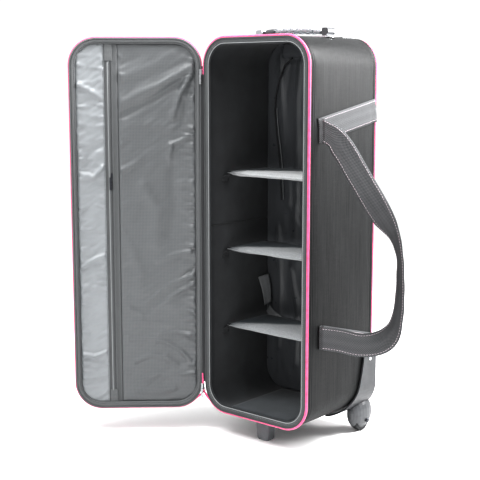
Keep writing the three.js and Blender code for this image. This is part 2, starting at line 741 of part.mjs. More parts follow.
part(assembly, "tube_bracket", tubeBracket(), "moulding");
for (const [side, x] of [["left", -TUBE_X], ["right", TUBE_X]]) {
  part(assembly, "outer_tube_" + side, uprightTube(x, OUTER_TUBE), "tube");
  part(assembly, "inner_tube_" + side, uprightTube(x, INNER_TUBE), "tube");
}
part(assembly, "pull_grip", pullGrip(), "moulding");
part(assembly, "release_button", releaseButton(), "grip");

const lidPivot = new THREE.Group();
lidPivot.position.set(HINGE_X, HINGE_Y, 0);
lidPivot.rotation.z = -THREE.MathUtils.degToRad(LID_OPEN_DEG);
assembly.add(lidPivot);
const lid = new THREE.Group();
lid.position.set(-HINGE_X, -HINGE_Y, 0);
lidPivot.add(lid);

part(lid, "lid_shell", lidShell(), "outer");
part(lid, "lid_inner_piping", hingedPiping(LID_Y, LID_HINGE_LOW_Z), "piping");
part(lid, "lid_outer_piping", piping(LID_OUT_Y), "piping");
part(lid, "lid_zip_tape", zipTape(LID_Y, LID_TAPE_IN), "tape");
part(lid, "lid_lining_main", lidLining(-HALF_W, ZIP_X.low - GAP), "silver");
part(lid, "lid_lining_strip", lidLining(ZIP_X.high + GAP, HALF_W), "silver");
part(lid, "pocket_zip_tape", pocketTape(), "tape");
part(lid, "pocket_zip_slider", pocketSlider(), "metal");
part(lid, "pocket_zip_pull", pocketPull(), "metal");

export default assembly;
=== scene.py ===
"""Looks of a tall rolling kit case with an open front lid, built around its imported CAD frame.

Shapes are worked out in millimetres in the row frame, and MM turns them into Blender's metres.
The lid's pieces are drawn closed and then swung about the hinge to the pose the frame has.
"""

import json
import math

import bpy
import numpy as np
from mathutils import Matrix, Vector, noise


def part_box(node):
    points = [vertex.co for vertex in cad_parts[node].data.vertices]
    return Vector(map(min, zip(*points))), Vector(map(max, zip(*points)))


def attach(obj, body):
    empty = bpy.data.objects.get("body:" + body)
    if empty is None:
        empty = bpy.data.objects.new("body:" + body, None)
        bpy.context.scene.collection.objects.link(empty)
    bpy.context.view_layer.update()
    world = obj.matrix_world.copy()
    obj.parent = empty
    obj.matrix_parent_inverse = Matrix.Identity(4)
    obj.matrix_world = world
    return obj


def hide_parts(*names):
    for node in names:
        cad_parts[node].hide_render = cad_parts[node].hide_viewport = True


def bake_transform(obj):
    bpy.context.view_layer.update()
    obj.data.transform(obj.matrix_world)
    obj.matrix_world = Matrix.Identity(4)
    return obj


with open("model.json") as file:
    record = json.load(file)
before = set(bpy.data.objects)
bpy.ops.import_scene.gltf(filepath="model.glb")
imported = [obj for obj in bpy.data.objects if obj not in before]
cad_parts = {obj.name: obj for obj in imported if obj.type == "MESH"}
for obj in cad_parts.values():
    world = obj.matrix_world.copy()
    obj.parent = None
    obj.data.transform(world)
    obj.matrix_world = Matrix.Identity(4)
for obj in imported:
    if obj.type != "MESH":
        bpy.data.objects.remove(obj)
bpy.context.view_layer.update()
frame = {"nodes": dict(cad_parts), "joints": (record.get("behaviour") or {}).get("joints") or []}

MM = 0.001


def cad_mm(node):
    """Lowest and highest corner of a CAD node, in millimetres."""
    low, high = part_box(node)
    return np.array(low) / MM, np.array(high) / MM


# ---------------------------------------------------------------- dimensions

PIPING_R = 3.0
_low, _high = cad_mm("rear_piping")
HALF_W = _high[0] - PIPING_R
BASE_Z = _low[2] + PIPING_R
TOP_Z = _high[2] - PIPING_R
REAR_Y = (_low[1] + _high[1]) / 2
_low, _high = cad_mm("front_piping")
FRONT_Y = (_low[1] + _high[1]) / 2
CORNER_R = 55.0
WALL_FRONT_Y, WALL_REAR_Y = cad_mm("case_shell")[0][1], cad_mm("case_shell")[1][1]
REAR_LINING_Y = cad_mm("rear_lining_panel")[0][1]

HINGE_JOINT = next(j for j in frame["joints"] if j["name"] == "lid_hinge")
HINGE_X, HINGE_Y = (c / MM for c in HINGE_JOINT["pos_m"][:2])
LID_OPEN = math.radians(HINGE_JOINT["range_deg"][0])
LID_Y = FRONT_Y - 2 * PIPING_R - 0.6  # closed lid's inner piping
LID_OUT_Y = LID_Y - 22.0
LID_LINING_Y = LID_Y - 5.0
HINGE_LOW_Z, HINGE_HIGH_Z = 108.0, 760.0

WEB_W = 47.0
WEB_T = 2.2


# ---------------------------------------------------------------- mesh tools


def swung(points):
    """Points of the closed lid, moved to the open pose."""
    c, s = math.cos(LID_OPEN), math.sin(LID_OPEN)
    moved = np.array(points, float)
    x, y = moved[..., 0] - HINGE_X, moved[..., 1] - HINGE_Y
    moved[..., 0] = HINGE_X + c * x - s * y
    moved[..., 1] = HINGE_Y + s * x + c * y
    return moved


def mesh_object(name, points, faces, look, body, uv=None, lid=False, smooth=True):
    """A mesh piece in the row frame. uv holds one (u, v) in metres for each corner of each face."""
    points = np.asarray(points, float).reshape(-1, 3)
    if lid:
        points = swung(points)
    mesh = bpy.data.meshes.new(name)
    mesh.from_pydata((points * MM).tolist(), [], faces)
    if uv is not None:
        layer = mesh.uv_layers.new(name="cloth")
        layer.data.foreach_set("uv", np.asarray(uv, np.float32).ravel())
    mesh.polygons.foreach_set("use_smooth", [smooth] * len(mesh.polygons))
    mesh.update()
    obj = bpy.data.objects.new(name, mesh)
    bpy.context.scene.collection.objects.link(obj)
    obj.data.materials.append(look)
    if body:
        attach(obj, body)
    return obj


def grid_object(name, points, look, body, wrap_i=False, wrap_j=False, u=None, v=None, caps=False, **more):
    """A quad grid of points[i, j]. u and v are the cloth's lengths along i and j, in millimetres."""
    ni, nj = points.shape[:2]
    rows, columns = ni + wrap_i, nj + wrap_j
    if u is None:
        u = lengths(points[:, 0], wrap_i)
    if v is None:
        v = lengths(points[0], wrap_j)
    faces, uv = [], []
    for i in range(rows - 1):
        for j in range(columns - 1):
            a, b = i % ni, (i + 1) % ni
            c, d = j % nj, (j + 1) % nj
            faces.append((a * nj + c, b * nj + c, b * nj + d, a * nj + d))
            uv += [(u[i], v[j]), (u[i + 1], v[j]), (u[i + 1], v[j + 1]), (u[i], v[j + 1])]
    if caps:
        for i, turn in ((0, 1), (ni - 1, -1)):
            faces.append([i * nj + j for j in range(nj)][::turn])
            uv += [(u[i], v[j]) for j in range(nj)][::turn]
    return mesh_object(name, points, faces, look, body, np.array(uv) * MM, **more)


def spread(x, y, z):
    """Points of a grid from coordinates that broadcast to its shape."""
    return np.stack(np.broadcast_arrays(x, y, z), -1)


def flat_grid(a, b):
    return np.meshgrid(a, b, indexing="ij")


def lengths(line, wrap=False):
    """Running length of a line of points."""
    if wrap:
        line = np.concatenate([line, line[:1]])
    steps = np.linalg.norm(np.diff(line, axis=0), axis=1)
    return np.concatenate([[0], np.cumsum(steps)])


def joined(name, objects):
    """Several meshes as one piece, which keeps the first one's material and body."""
    bpy.ops.object.select_all(action="DESELECT")
    for obj in objects:
        obj.select_set(True)
    bpy.context.view_layer.objects.active = objects[0]
    bpy.ops.object.join()
    objects[0].name = name
    return objects[0]


def modifier(obj, kind, **settings):
    made = obj.modifiers.new(kind.lower(), kind)
    for key, value in settings.items():
        setattr(made, key, value)
    return made


def applied(obj):
    """Writes an object's modifiers into its mesh."""
    graph = bpy.context.evaluated_depsgraph_get()
    mesh = bpy.data.meshes.new_from_object(obj.evaluated_get(graph), depsgraph=graph)
    obj.modifiers.clear()
    obj.data = mesh
    return obj


def thick(obj, amount, offset=-1.0):
    modifier(obj, "SOLIDIFY", thickness=amount * MM, offset=offset, use_even_offset=False)
    return applied(obj)


BOX_FACES = ((0, 2, 3, 1), (4, 5, 7, 6), (0, 1, 5, 4), (2, 6, 7, 3), (0, 4, 6, 2), (1, 3, 7, 5))


def carved(obj, low, high):
    """Cuts a box, given in millimetres, out of a closed mesh."""
    corners = [[(low, high)[(k >> n) & 1][n] for n in range(3)] for k in range(8)]
    tool = mesh_object("cutter", corners, BOX_FACES, obj.data.materials[0], None, smooth=False)
    modifier(obj, "BOOLEAN", object=tool, operation="DIFFERENCE", solver="EXACT")
    applied(obj)
    bpy.data.objects.remove(tool)
    return obj


def smoothstep(x, low, high):
    t = np.clip((np.asarray(x, float) - low) / (high - low), 0, 1)
    return t * t * (3 - 2 * t)


def bell(x, middle, width):
    return np.exp(-(((np.asarray(x, float) - middle) / width) ** 2))


def ripple(points, size, seed=0.0):
    """Smooth noise between about -1 and 1 at each point; size is the length of its bumps."""
    flat = np.asarray(points, float).reshape(-1, 3)
    size = np.broadcast_to(np.asarray(size, float), 3)
    values = [noise.noise(Vector(p / size + seed)) for p in flat]
    return np.array(values).reshape(np.asarray(points).shape[:-1])


# ---------------------------------------------------------------- the case's outline


def outline_table(step):
    """Dense table of the outline on the piping's centre line, clockwise from the foot of the left side."""
    w, r = HALF_W, CORNER_R
    low, high = BASE_Z + r, TOP_Z - r
    parts = []

    def straight(a, b, normal):
        count = max(2, int(np.hypot(*np.subtract(b, a)) / step))
        t = np.linspace(0, 1, count, endpoint=False)[:, None]
        parts.append(np.hstack([np.array(a) + t * np.subtract(b, a), np.tile(normal, (count, 1))]))

    def corner(centre, start):
        t = np.radians(start) - np.linspace(0, math.pi / 2, int(r * math.pi / 2 / step), endpoint=False)
        normal = np.stack([np.cos(t), np.sin(t)], 1)
        parts.append(np.hstack([np.array(centre) + r * normal, normal]))

    straight((-w, low), (-w, high), (-1, 0))
    corner((-w + r, high), 180)
    straight((-w + r, TOP_Z), (w - r, TOP_Z), (0, 1))
    corner((w - r, high), 90)
    straight((w, high), (w, low), (1, 0))
    corner((w - r, low), 0)
    straight((w - r, BASE_Z), (-w + r, BASE_Z), (0, -1))
    corner((-w + r, low), -90)
    return np.vstack(parts)


OUTLINE = outline_table(0.5)
OUTLINE_S = lengths(OUTLINE[:, :2], wrap=True)
PERIMETER = OUTLINE_S[-1]
OUTLINE = np.vstack([OUTLINE, OUTLINE[:1]])


def outline_at(s):
    """x, z and outward normal of the outline at the lengths s."""
    s = np.mod(s, PERIMETER)
    return np.stack([np.interp(s, OUTLINE_S, OUTLINE[:, k]) for k in range(4)], 1)


def around(count):
    return np.linspace(0, PERIMETER, count, endpoint=False)


def ring_points(s, section):
    """Points[i, j] of a section swept round the outline; section[j] or section[i, j] is (offset, y)."""
    x, z, nx, nz = outline_at(s).T
    section = np.asarray(section, float)
    if section.ndim == 2:
        section = np.broadcast_to(section, (len(s), *section.shape))
    off, y = section[..., 0], section[..., 1]
    return np.stack([x[:, None] + nx[:, None] * off, y, z[:, None] + nz[:, None] * off], -1)


def ring_object(name, section, look, body, count=330, **more):
    s = around(count)
    points = ring_points(s, section)
    u = np.append(s, PERIMETER)
    return grid_object(name, points, look, body, wrap_i=True, wrap_j=True, u=u, **more)


def circle(radius, sides, centre):
    t = np.linspace(0, 2 * math.pi, sides, endpoint=False)
    return np.stack([centre[0] + radius * np.cos(t), centre[1] + radius * np.sin(t)], 1)


def rounded_sheet(x_low, x_high, z_low, z_high, r, nx, nz, clip=(-1e9, 1e9)):
    """x and z that fill a rounded rectangle, or its part between two x, with rows from the bottom up."""
    t = np.linspace(0, 1, nz)
    ends = 0.5 - 0.5 * np.cos(math.pi * t)
    z = z_low + (z_high - z_low) * (0.85 * t + 0.15 * ends)
    into = np.clip(r - np.minimum(z - z_low, z_high - z), 0, r)
    inset = r - np.sqrt(np.maximum(r * r - into * into, 0))
    left = np.clip(x_low + inset, *clip)
    right = np.clip(x_high - inset, *clip)
    a = np.linspace(0, 1, nx)
    x = left[:, None] + (right - left)[:, None] * a
    return x, np.repeat(z[:, None], nx, 1)


def ridge_field(x, z, ridges):
    """Height of folds on a sheet. Each ridge is (points along it, height at its start, at its end, width)."""
    total = np.zeros_like(x)
    for line, start, end, width in ridges:
        line = np.array(line, float)
        best = np.full(x.shape, 1e9)
        height = np.zeros_like(x)
        share = lengths(line) / lengths(line)[-1]
        for a, b, sa, sb in zip(line, line[1:], share, share[1:]):
            d = b - a
            t = np.clip(((x - a[0]) * d[0] + (z - a[1]) * d[1]) / (d @ d), 0, 1)
            away = np.hypot(x - a[0] - t * d[0], z - a[1] - t * d[1])
            near = away < best
            best = np.where(near, away, best)
            here = sa + t * (sb - sa)
            height = np.where(near, start + (end - start) * here, height)
        total += height * np.exp(-((best / (0.85 * width)) ** 2))
    return total


# ---------------------------------------------------------------- straps, threads, turned parts


def strap_points(stations, width, thickness, columns=9, wave=0.0):
    """Points[i, j] of a flat strap with soft edges. A station is (point, across, through)."""
    a = np.linspace(-1, 1, columns)
    crown = np.sqrt(np.clip(1 - np.abs(a) ** 6 * 0.8, 0, 1))
    rows = []
    for k, (point, across, through) in enumerate(stations):
        point, across, through = (np.array(p, float) for p in (point, across, through))
        lift = wave * math.sin(k * 0.9) * a**2
        top = point + np.outer(a * width / 2, across) + np.outer(crown * thickness / 2 + lift, through)
        low = point + np.outer(a * width / 2, across) + np.outer(-crown * thickness / 2 + lift, through)
        rows.append(np.vstack([top, low[::-1]]))
    return np.array(rows)


def strap_object(name, stations, width, thickness, look, body, **more):
    points = strap_points(stations, width, thickness, **more)
    centre = np.array([s[0] for s in stations], float)
    columns = points.shape[1] // 2
    a = np.linspace(0, width, columns)
    v = np.concatenate([a, a[::-1], a[:1]])
    return grid_object(name, points, look, body, wrap_j=True, u=lengths(centre), v=v, caps=True)


def resampled(line, step):
    along = lengths(line)
    count = max(2, int(along[-1] / step) + 1)
    at = np.linspace(0, along[-1], count)
    return np.stack([np.interp(at, along, line[:, k]) for k in range(line.shape[1])], 1)


def thread_object(name, seams, look, body, stitch=3.8, gap=1.7, radius=0.46, **more):
    """Stitches as short raised threads. A seam is (points along it, the surface's normal at each)."""
    points, faces = [], []
    sides, shape = 5, ((0.0, 0.35, -0.35), (0.22, 0.95, 0.35), (0.78, 0.95, 0.35), (1.0, 0.35, -0.35))
    for line, normals in seams:
        fine = resampled(np.hstack([line, normals]), 0.8)
        along = lengths(fine[:, :3])
        at = 0.6
        while at + stitch < along[-1]:
            first = len(points)
            for share, girth, lift in shape:
                here = [np.interp(at + share * stitch, along, fine[:, k]) for k in range(6)]
                ahead = [np.interp(at + share * stitch + 0.4, along, fine[:, k]) for k in range(3)]
                centre, up = np.array(here[:3]), np.array(here[3:])
                way = np.array(ahead) - centre
                side = np.cross(up, way)
                side /= max(np.linalg.norm(side), 1e-9)
                for k in range(sides):
                    t = 2 * math.pi * k / sides
                    ring = radius * girth * (math.cos(t) * side + math.sin(t) * up)
                    points.append(centre + up * radius * lift + ring)
            for row in range(len(shape) - 1):
                for k in range(sides):
                    a, b = first + row * sides + k, first + row * sides + (k + 1) % sides
                    faces.append((a, b, b + sides, a + sides))
            faces.append(tuple(first + k for k in range(sides))[::-1])
            faces.append(tuple(first + 3 * sides + k for k in range(sides)))
            at += stitch + gap
    return mesh_object(name, points, faces, look, body, **more)


def teeth_object(name, line, across, up, look, body, pitch, size, **more):
    """A zip's chain: two rows of small blocks that alternate about a line."""
    fine = resampled(np.asarray(line, float), pitch)
    across, up = np.array(across, float), np.array(up, float)
    points, faces = [], []
    for k, centre in enumerate(fine[:-1]):
        way = fine[k + 1] - centre
        way /= np.linalg.norm(way)
        middle = centre + across * (0.75 if k % 2 else -0.75)
        first = len(points)
        for n in range(8):
            a, b, c = ((n >> i & 1) * 2 - 1 for i in range(3))
            inset = 0.62 if c > 0 else 1.0
            points.append(
                middle + way * a * size[0] / 2 * inset + across * b * size[1] * inset + up * c * size[2] / 2
            )
        faces += [[first + n for n in side] for side in BOX_FACES]
    return mesh_object(name, points, faces, look, body, smooth=False, **more)


def lathe_object(name, profile, centre, look, body, sides=64):
    """A profile of (radius, x) turned about an axis along X."""
    profile = np.array(profile, float)
    t = np.linspace(0, 2 * math.pi, sides, endpoint=False)
    x = np.repeat(profile[None, :, 1], sides, 0)
    y = np.cos(t)[:, None] * profile[:, 0]
    z = np.sin(t)[:, None] * profile[:, 0]
    points = np.stack([x, y, z], -1) + np.array(centre)
    return grid_object(name, points, look, body, wrap_i=True, wrap_j=True)


def tube_object(name, line, radius, look, body, sides=10, **more):
    """A round cord along a line of points; radius is one number or one for each point."""
    line = np.asarray(line, float)
    radius = np.broadcast_to(np.asarray(radius, float), len(line))
    ahead = np.gradient(line, axis=0)
    ahead /= np.linalg.norm(ahead, axis=1)[:, None]
    up = np.array([0.0, 1.0, 0.0])
    rows = []
    for point, way, r in zip(line, ahead, radius):
        side = np.cross(way, up)
        if np.linalg.norm(side) < 0.1:
            side = np.cross(way, (1.0, 0.0, 0.0))
        side /= np.linalg.norm(side)
        top = np.cross(side, way)
        t = np.linspace(0, 2 * math.pi, sides, endpoint=False)
        rows.append(point + r * (np.outer(np.cos(t), side) + np.outer(np.sin(t), top)))
    return grid_object(name, np.array(rows), look, body, wrap_j=True, u=lengths(line), caps=True, **more)


# ---------------------------------------------------------------- materials


class Look:
    """A procedural material: a small graph of nodes that ends in one Principled shader."""

    def __init__(self, name, source="UV", **sockets):
        self.material = bpy.data.materials.new(name)
        self.material.use_nodes = True
        self.tree = self.material.node_tree
        self.tree.nodes.clear()
        self.shader = self.node("BsdfPrincipled")
        output = self.node("OutputMaterial")
        self.tree.links.new(self.shader.outputs["BSDF"], output.inputs["Surface"])
        for socket, value in sockets.items():
            self.shader.inputs[socket.replace("_", " ")].default_value = value
        self.place = self.node("TexCoord").outputs[source]

    def node(self, kind, inputs=(), **settings):
        made = self.tree.nodes.new("ShaderNode" + kind)
        for key, value in settings.items():
            setattr(made, key, value)
        for socket, value in dict(inputs).items():
            if isinstance(value, bpy.types.NodeSocket):
                self.tree.links.new(value, made.inputs[socket])
            else:
                made.inputs[socket].default_value = value
        return made

    def noise(self, scale, size=(1, 1, 1), detail=3.0, rough=0.6):
        place = self.node("Mapping", {"Vector": self.place, "Scale": size}).outputs[0]
        inputs = {"Vector": place, "Scale": scale, "Detail": detail, "Roughness": rough}
        return self.node("TexNoise", inputs).outputs[0]

    def math(self, operation, a, b=0.0, c=0.0):
        return self.node("Math", {0: a, 1: b, 2: c}, operation=operation).outputs[0]

    def ramp(self, value, *stops):
        """value turned into a colour; a stop is (place, grey or colour)."""
        made = self.node("ValToRGB", {0: value})
        ramp = made.color_ramp
        while len(ramp.elements) < len(stops):
            ramp.elements.new(0.5)
        for element, (place, colour) in zip(ramp.elements, stops):
            element.position = place
            element.color = (*((colour,) * 3 if isinstance(colour, float) else colour), 1.0)
        return made.outputs[0]

    def range(self, value, low, high, out_low=0.0, out_high=1.0):
        inputs = {0: value, 1: low, 2: high, 3: out_low, 4: out_high}
        return self.node("MapRange", inputs).outputs[0]

    def mix(self, share, a, b):
        made = self.node("Mix", data_type="RGBA", blend_type="MIX")
        for socket, value in ((0, share), (6, a), (7, b)):
            if isinstance(value, bpy.types.NodeSocket):
                self.tree.links.new(value, made.inputs[socket])
            elif socket == 0:
                made.inputs[socket].default_value = value
            else:
                made.inputs[socket].default_value = (*value, 1.0)
        return made.outputs[2]

    def axis(self, name):
        return self.node("SeparateXYZ", {0: self.place}).outputs[name]

    def waves(self, name, pitch_mm):
        """A sine along one axis, from -1 to 1."""
        return self.math("SINE", self.math("MULTIPLY", self.axis(name), 2 * math.pi / (pitch_mm * MM)))

    def weave(self, pitch_u, pitch_v):
        """Height of a plain weave, from 0 to 1."""
        crossed = self.math("MULTIPLY", self.waves("X", pitch_u), self.waves("Y", pitch_v))
        return self.math("MULTIPLY_ADD", crossed, 0.5, 0.5)

    def lines(self, name, pitch_mm, share=0.2):
        """1 on thin lines a pitch apart, and 0 between."""
        turns = self.math("PINGPONG", self.math("MULTIPLY", self.axis(name), 2 / (pitch_mm * MM)), 1.0)
        return self.range(turns, 1 - share, 1.0)

    def finish(self, colour, roughness, height, depth_mm, strength=1.0):
        self.tree.links.new(colour, self.shader.inputs["Base Color"])
        self.tree.links.new(roughness, self.shader.inputs["Roughness"])
        inputs = {"Height": height, "Distance": depth_mm * MM, "Strength": strength}
        bump = self.node("Bump", inputs)
        self.tree.links.new(bump.outputs[0], self.shader.inputs["Normal"])
        return self.material


def outer_fabric():
    look = Look("outer_fabric", "Object", Sheen_Weight=0.02, Sheen_Roughness=0.5, Specular_IOR_Level=0.12)
    streaks = look.noise(1.0, (1400, 1400, 26), 4.0, 0.65)
    broad = look.noise(1.0, (260, 260, 9), 2.0)
    cloudy = look.noise(14.0, detail=2.0)
    tone = look.math("MULTIPLY_ADD", broad, 0.45, look.math("MULTIPLY", streaks, 0.55))
    colour = look.ramp(tone, (0.32, (0.003, 0.0032, 0.0034)), (0.68, (0.024, 0.0247, 0.0255)))
    colour = look.mix(look.range(cloudy, 0.35, 0.7, 0.0, 0.2), colour, (0.014, 0.0143, 0.0147))
    slubs = look.noise(1.0, (30, 30, 1100), 4.0, 0.65)
    colour = look.mix(look.range(slubs, 0.5, 0.75, 0.0, 0.3), colour, (0.040, 0.041, 0.042))
    threads = look.math("MULTIPLY_ADD", slubs, 0.35, look.math("MULTIPLY", streaks, 0.65))
    roughness = look.range(streaks, 0.2, 0.8, 0.36, 0.56)
    return look.finish(colour, roughness, threads, 0.3, 0.9)


def piping_look():
    look = Look("pink_piping", Sheen_Weight=0.25, Specular_IOR_Level=0.5)
    twill = look.math("ADD", look.axis("X"), look.axis("Y"))
    twill = look.math("SINE", look.math("MULTIPLY", twill, 2 * math.pi / (1.1 * MM)))
    worn = look.noise(90.0)
    colour = look.ramp(worn, (0.3, (0.64, 0.055, 0.175)), (0.72, (0.78, 0.115, 0.280)))
    return look.finish(colour, look.range(worn, 0.3, 0.7, 0.36, 0.5), twill, 0.12, 0.6)


def woven(name, dark, light, pitch, depth, rough=(0.65, 0.85), worn=0.3):
    """A coarse woven cloth, such as webbing or tape."""
    look = Look(name)
    weave = look.weave(*pitch)
    rib = look.waves("Y", 4.2 * pitch[1])
    cloud = look.noise(60.0)
    tone = look.math("MULTIPLY_ADD", weave, 0.6, look.math("MULTIPLY", cloud, worn))
    tone = look.math("MULTIPLY_ADD", rib, 0.03, tone)
    colour = look.ramp(tone, (0.1, dark), (0.85, light))
    return look.finish(colour, look.range(cloud, 0.3, 0.7, *rough), weave, depth, 0.9)


def felt_look(name, dark, light):
    look = Look(name, "Object", Sheen_Weight=0.2, Sheen_Roughness=0.6, Specular_IOR_Level=0.25)
    hairs = look.noise(1500.0, detail=4.0, rough=0.7)
    cloud = look.noise(22.0)
    tone = look.math("MULTIPLY_ADD", cloud, 0.6, look.math("MULTIPLY", hairs, 0.4))
    colour = look.ramp(tone, (0.3, dark), (0.7, light))
    return look.finish(colour, look.range(hairs, 0.3, 0.7, 0.8, 0.98), hairs, 0.3, 0.5)


def ripstop(name, base, line, pitch, rough, depth=0.1):
    """Thin coated cloth with a raised grid of heavier yarns."""
    look = Look(name, Specular_IOR_Level=0.5)
    grid = look.math("MAXIMUM", look.lines("X", pitch, 0.34), look.lines("Y", pitch, 0.34))
    cloud = look.noise(35.0)
    fine = look.weave(0.45, 0.45)
    colour = look.mix(look.range(cloud, 0.3, 0.7, 0.0, 0.3), base, tuple(c * 0.82 for c in base))
    colour = look.mix(look.math("MULTIPLY", grid, 0.45), colour, line)
    height = look.math("MULTIPLY_ADD", grid, 0.8, look.math("MULTIPLY", fine, 0.2))
    return look.finish(colour, look.range(cloud, 0.3, 0.7, *rough), height, depth, 0.7)


def moulded(name, dark, light, rough=(0.42, 0.6), grain=900.0, depth=0.05, **sockets):
    """Moulded plastic or rubber with a fine grain and faint scuffs."""
    look = Look(name, "Object", **sockets)
    spark = look.noise(grain, detail=2.0)
    scuffs = look.noise(1.0, (60, 60, 420), 5.0, 0.7)
    cloud = look.noise(30.0)
    tone = look.math("MULTIPLY_ADD", look.range(scuffs, 0.58, 0.75), 0.35, look.math("MULTIPLY", cloud, 0.6))
    colour = look.ramp(tone, (0.15, dark), (0.8, light))
    return look.finish(colour, look.range(scuffs, 0.35, 0.7, *rough), spark, depth, 0.5)


def metal(name, colour, rough=(0.2, 0.36), stretch=(40, 40, 900), metallic=1.0):
    """Brushed or drawn metal; stretch sets the way its fine lines run."""
    look = Look(name, "Object", Metallic=metallic)
    lines = look.noise(1.0, stretch, 4.0, 0.7)
    cloud = look.noise(50.0)
    tone = look.mix(look.range(cloud, 0.3, 0.7, 0.0, 0.5), colour, tuple(c * 0.72 for c in colour))
    return look.finish(tone, look.range(lines, 0.3, 0.7, *rough), lines, 0.03, 0.4)


def divider_look_with_painted_shadow(name, pale_dark, pale_light):
    """Pad cloth: pale along the front and dark in the rear left corner, with a soft slanting border. The dark
    corner is partly a darker cloth and partly a painted shadow cast by the left wall and the lid, and the
    border runs along that shadow's edge.
    """
    look = Look(name, "Object", Sheen_Weight=0.15, Specular_IOR_Level=0.35)
    # Painted shadow: the border slants along the edge of the shadow that the left wall and the lid cast on
    # the pad.
    behind = look.math("MULTIPLY_ADD", look.axis("X"), -0.62, look.axis("Y"))
    border = look.math("MULTIPLY_ADD", look.noise(28.0), 0.016, behind)
    dark = look.range(border, 0.086, 0.104)
    fine = look.noise(1.0, (1500, 300, 900), 3.0)
    pale = look.ramp(fine, (0.3, pale_dark), (0.7, pale_light))
    # The bluish black of the rear left corner: a darker cloth with painted shadow in it.
    deep = look.ramp(fine, (0.3, (0.008, 0.014, 0.019)), (0.7, (0.020, 0.032, 0.040)))
    colour = look.mix(dark, pale, deep)
    return look.finish(colour, look.range(dark, 0.0, 1.0, 0.72, 0.5), fine, 0.12, 0.6)


LOOKS = {
    "outer": outer_fabric(),
    "piping": piping_look(),
    "tape": woven("zip_tape", (0.026, 0.028, 0.029), (0.105, 0.110, 0.113), (2.0, 2.2), 0.2),
    "pocket_tape": woven("pocket_zip_tape", (0.040, 0.042, 0.044), (0.150, 0.156, 0.160), (1.9, 2.4), 0.3),
    "lid_tape": woven("lid_zip_tape", (0.060, 0.063, 0.065), (0.170, 0.176, 0.180), (2.2, 2.4), 0.2),
    "binding": woven("rim_binding", (0.17, 0.178, 0.182), (0.36, 0.37, 0.375), (1.6, 1.6), 0.1, (0.45, 0.6)),
    "felt": felt_look("felt_lining", (0.006, 0.007, 0.0085), (0.024, 0.0265, 0.030)),
    "seam": felt_look("seam_cloth", (0.004, 0.004, 0.005), (0.010, 0.011, 0.012)),
    "floor_cloth": felt_look("floor_cloth", (0.014, 0.019, 0.023), (0.040, 0.047, 0.054)),
    "nylon": ripstop("black_nylon", (0.070, 0.074, 0.080), (0.115, 0.121, 0.128), 2.4, (0.26, 0.40)),
    "silver": ripstop("silver_ripstop", (0.094, 0.099, 0.103), (0.21, 0.217, 0.223), 3.0, (0.30, 0.44), 0.14),
    # The strip's colours are lighter than the main lining's: partly a different silver cloth, partly painted
    # sheen.
    "satin": ripstop("silver_strip_cloth_and_sheen", (0.235, 0.247, 0.257), (0.29, 0.302, 0.312), 1.2, (0.30, 0.44), 0.04),
    # The three pads are one light-grey cloth; their different greys, lightest on the top pad, are painted
    # light and shade.
    "divider_top": divider_look_with_painted_shadow("divider_top_cloth", (0.27, 0.278, 0.283), (0.55, 0.56, 0.565)),
    "divider_middle": divider_look_with_painted_shadow("divider_middle_cloth", (0.15, 0.157, 0.163), (0.36, 0.37, 0.377)),
    "divider_bottom": divider_look_with_painted_shadow("divider_bottom_cloth", (0.14, 0.147, 0.153), (0.34, 0.35, 0.357)),
    "webbing": woven("webbing", (0.010, 0.0105, 0.012), (0.135, 0.138, 0.144), (3.6, 4.0), 0.8, worn=0.2),
    "wall_webbing": woven("wall_webbing", (0.11, 0.114, 0.119), (0.30, 0.306, 0.312), (2.2, 2.6), 0.4),
    "dark_webbing": woven("dark_webbing", (0.010, 0.010, 0.011), (0.050, 0.052, 0.055), (1.8, 2.3), 0.3),
    "thread": woven("pale_thread", (0.42, 0.36, 0.39), (0.66, 0.58, 0.61), (0.6, 0.6), 0.05),
    "grey_thread": woven("grey_thread", (0.13, 0.136, 0.14), (0.30, 0.31, 0.315), (0.6, 0.6), 0.05),
    "dark_thread": woven("dark_thread", (0.008, 0.008, 0.009), (0.03, 0.03, 0.034), (0.6, 0.6), 0.05),
    "plastic": moulded("grey_moulding", (0.048, 0.050, 0.054), (0.125, 0.129, 0.137), (0.32, 0.48)),
    "foot_plastic": moulded("foot_moulding", (0.085, 0.088, 0.094), (0.20, 0.206, 0.217), (0.30, 0.45)),
    "guard_plastic": moulded("guard_moulding", (0.026, 0.027, 0.030), (0.075, 0.078, 0.084), (0.34, 0.50)),
    "dark_plastic": moulded("dark_moulding", (0.012, 0.013, 0.015), (0.045, 0.047, 0.052)),
    "rubber": moulded("tyre_rubber", (0.014, 0.015, 0.016), (0.046, 0.048, 0.052), (0.55, 0.75), 500.0, 0.12),
    "silver_plastic": moulded("silver_grip", (0.30, 0.31, 0.33), (0.60, 0.61, 0.63), (0.22, 0.38),
                              Metallic=0.4),
    "zip_metal": metal("zip_metal", (0.55, 0.56, 0.58)),
    "dark_metal": metal("dark_zip_metal", (0.06, 0.062, 0.07)),
    "coil": moulded("zip_coil", (0.020, 0.021, 0.023), (0.070, 0.073, 0.077), (0.35, 0.5)),
    "tube": metal("aluminium_tube", (0.56, 0.57, 0.59), stretch=(900, 900, 30)),
    "plate": metal("handle_plate", (0.62, 0.63, 0.65), (0.22, 0.4), (30, 900, 900), 0.8),
}


# ---------------------------------------------------------------- case body

SHELL_IN = 4.7  # inner face of the walls, in from the piping's centre line
TRAY_LOW, TRAY_HIGH = cad_mm("pull_handle_tray")
TRAY_FLANGE = 6  # the tray's rim stands this far past its tub
TRAY_CLEAR = 1.6
PANEL_IN = 3.4  # rear and lid panels, in from the piping's centre line


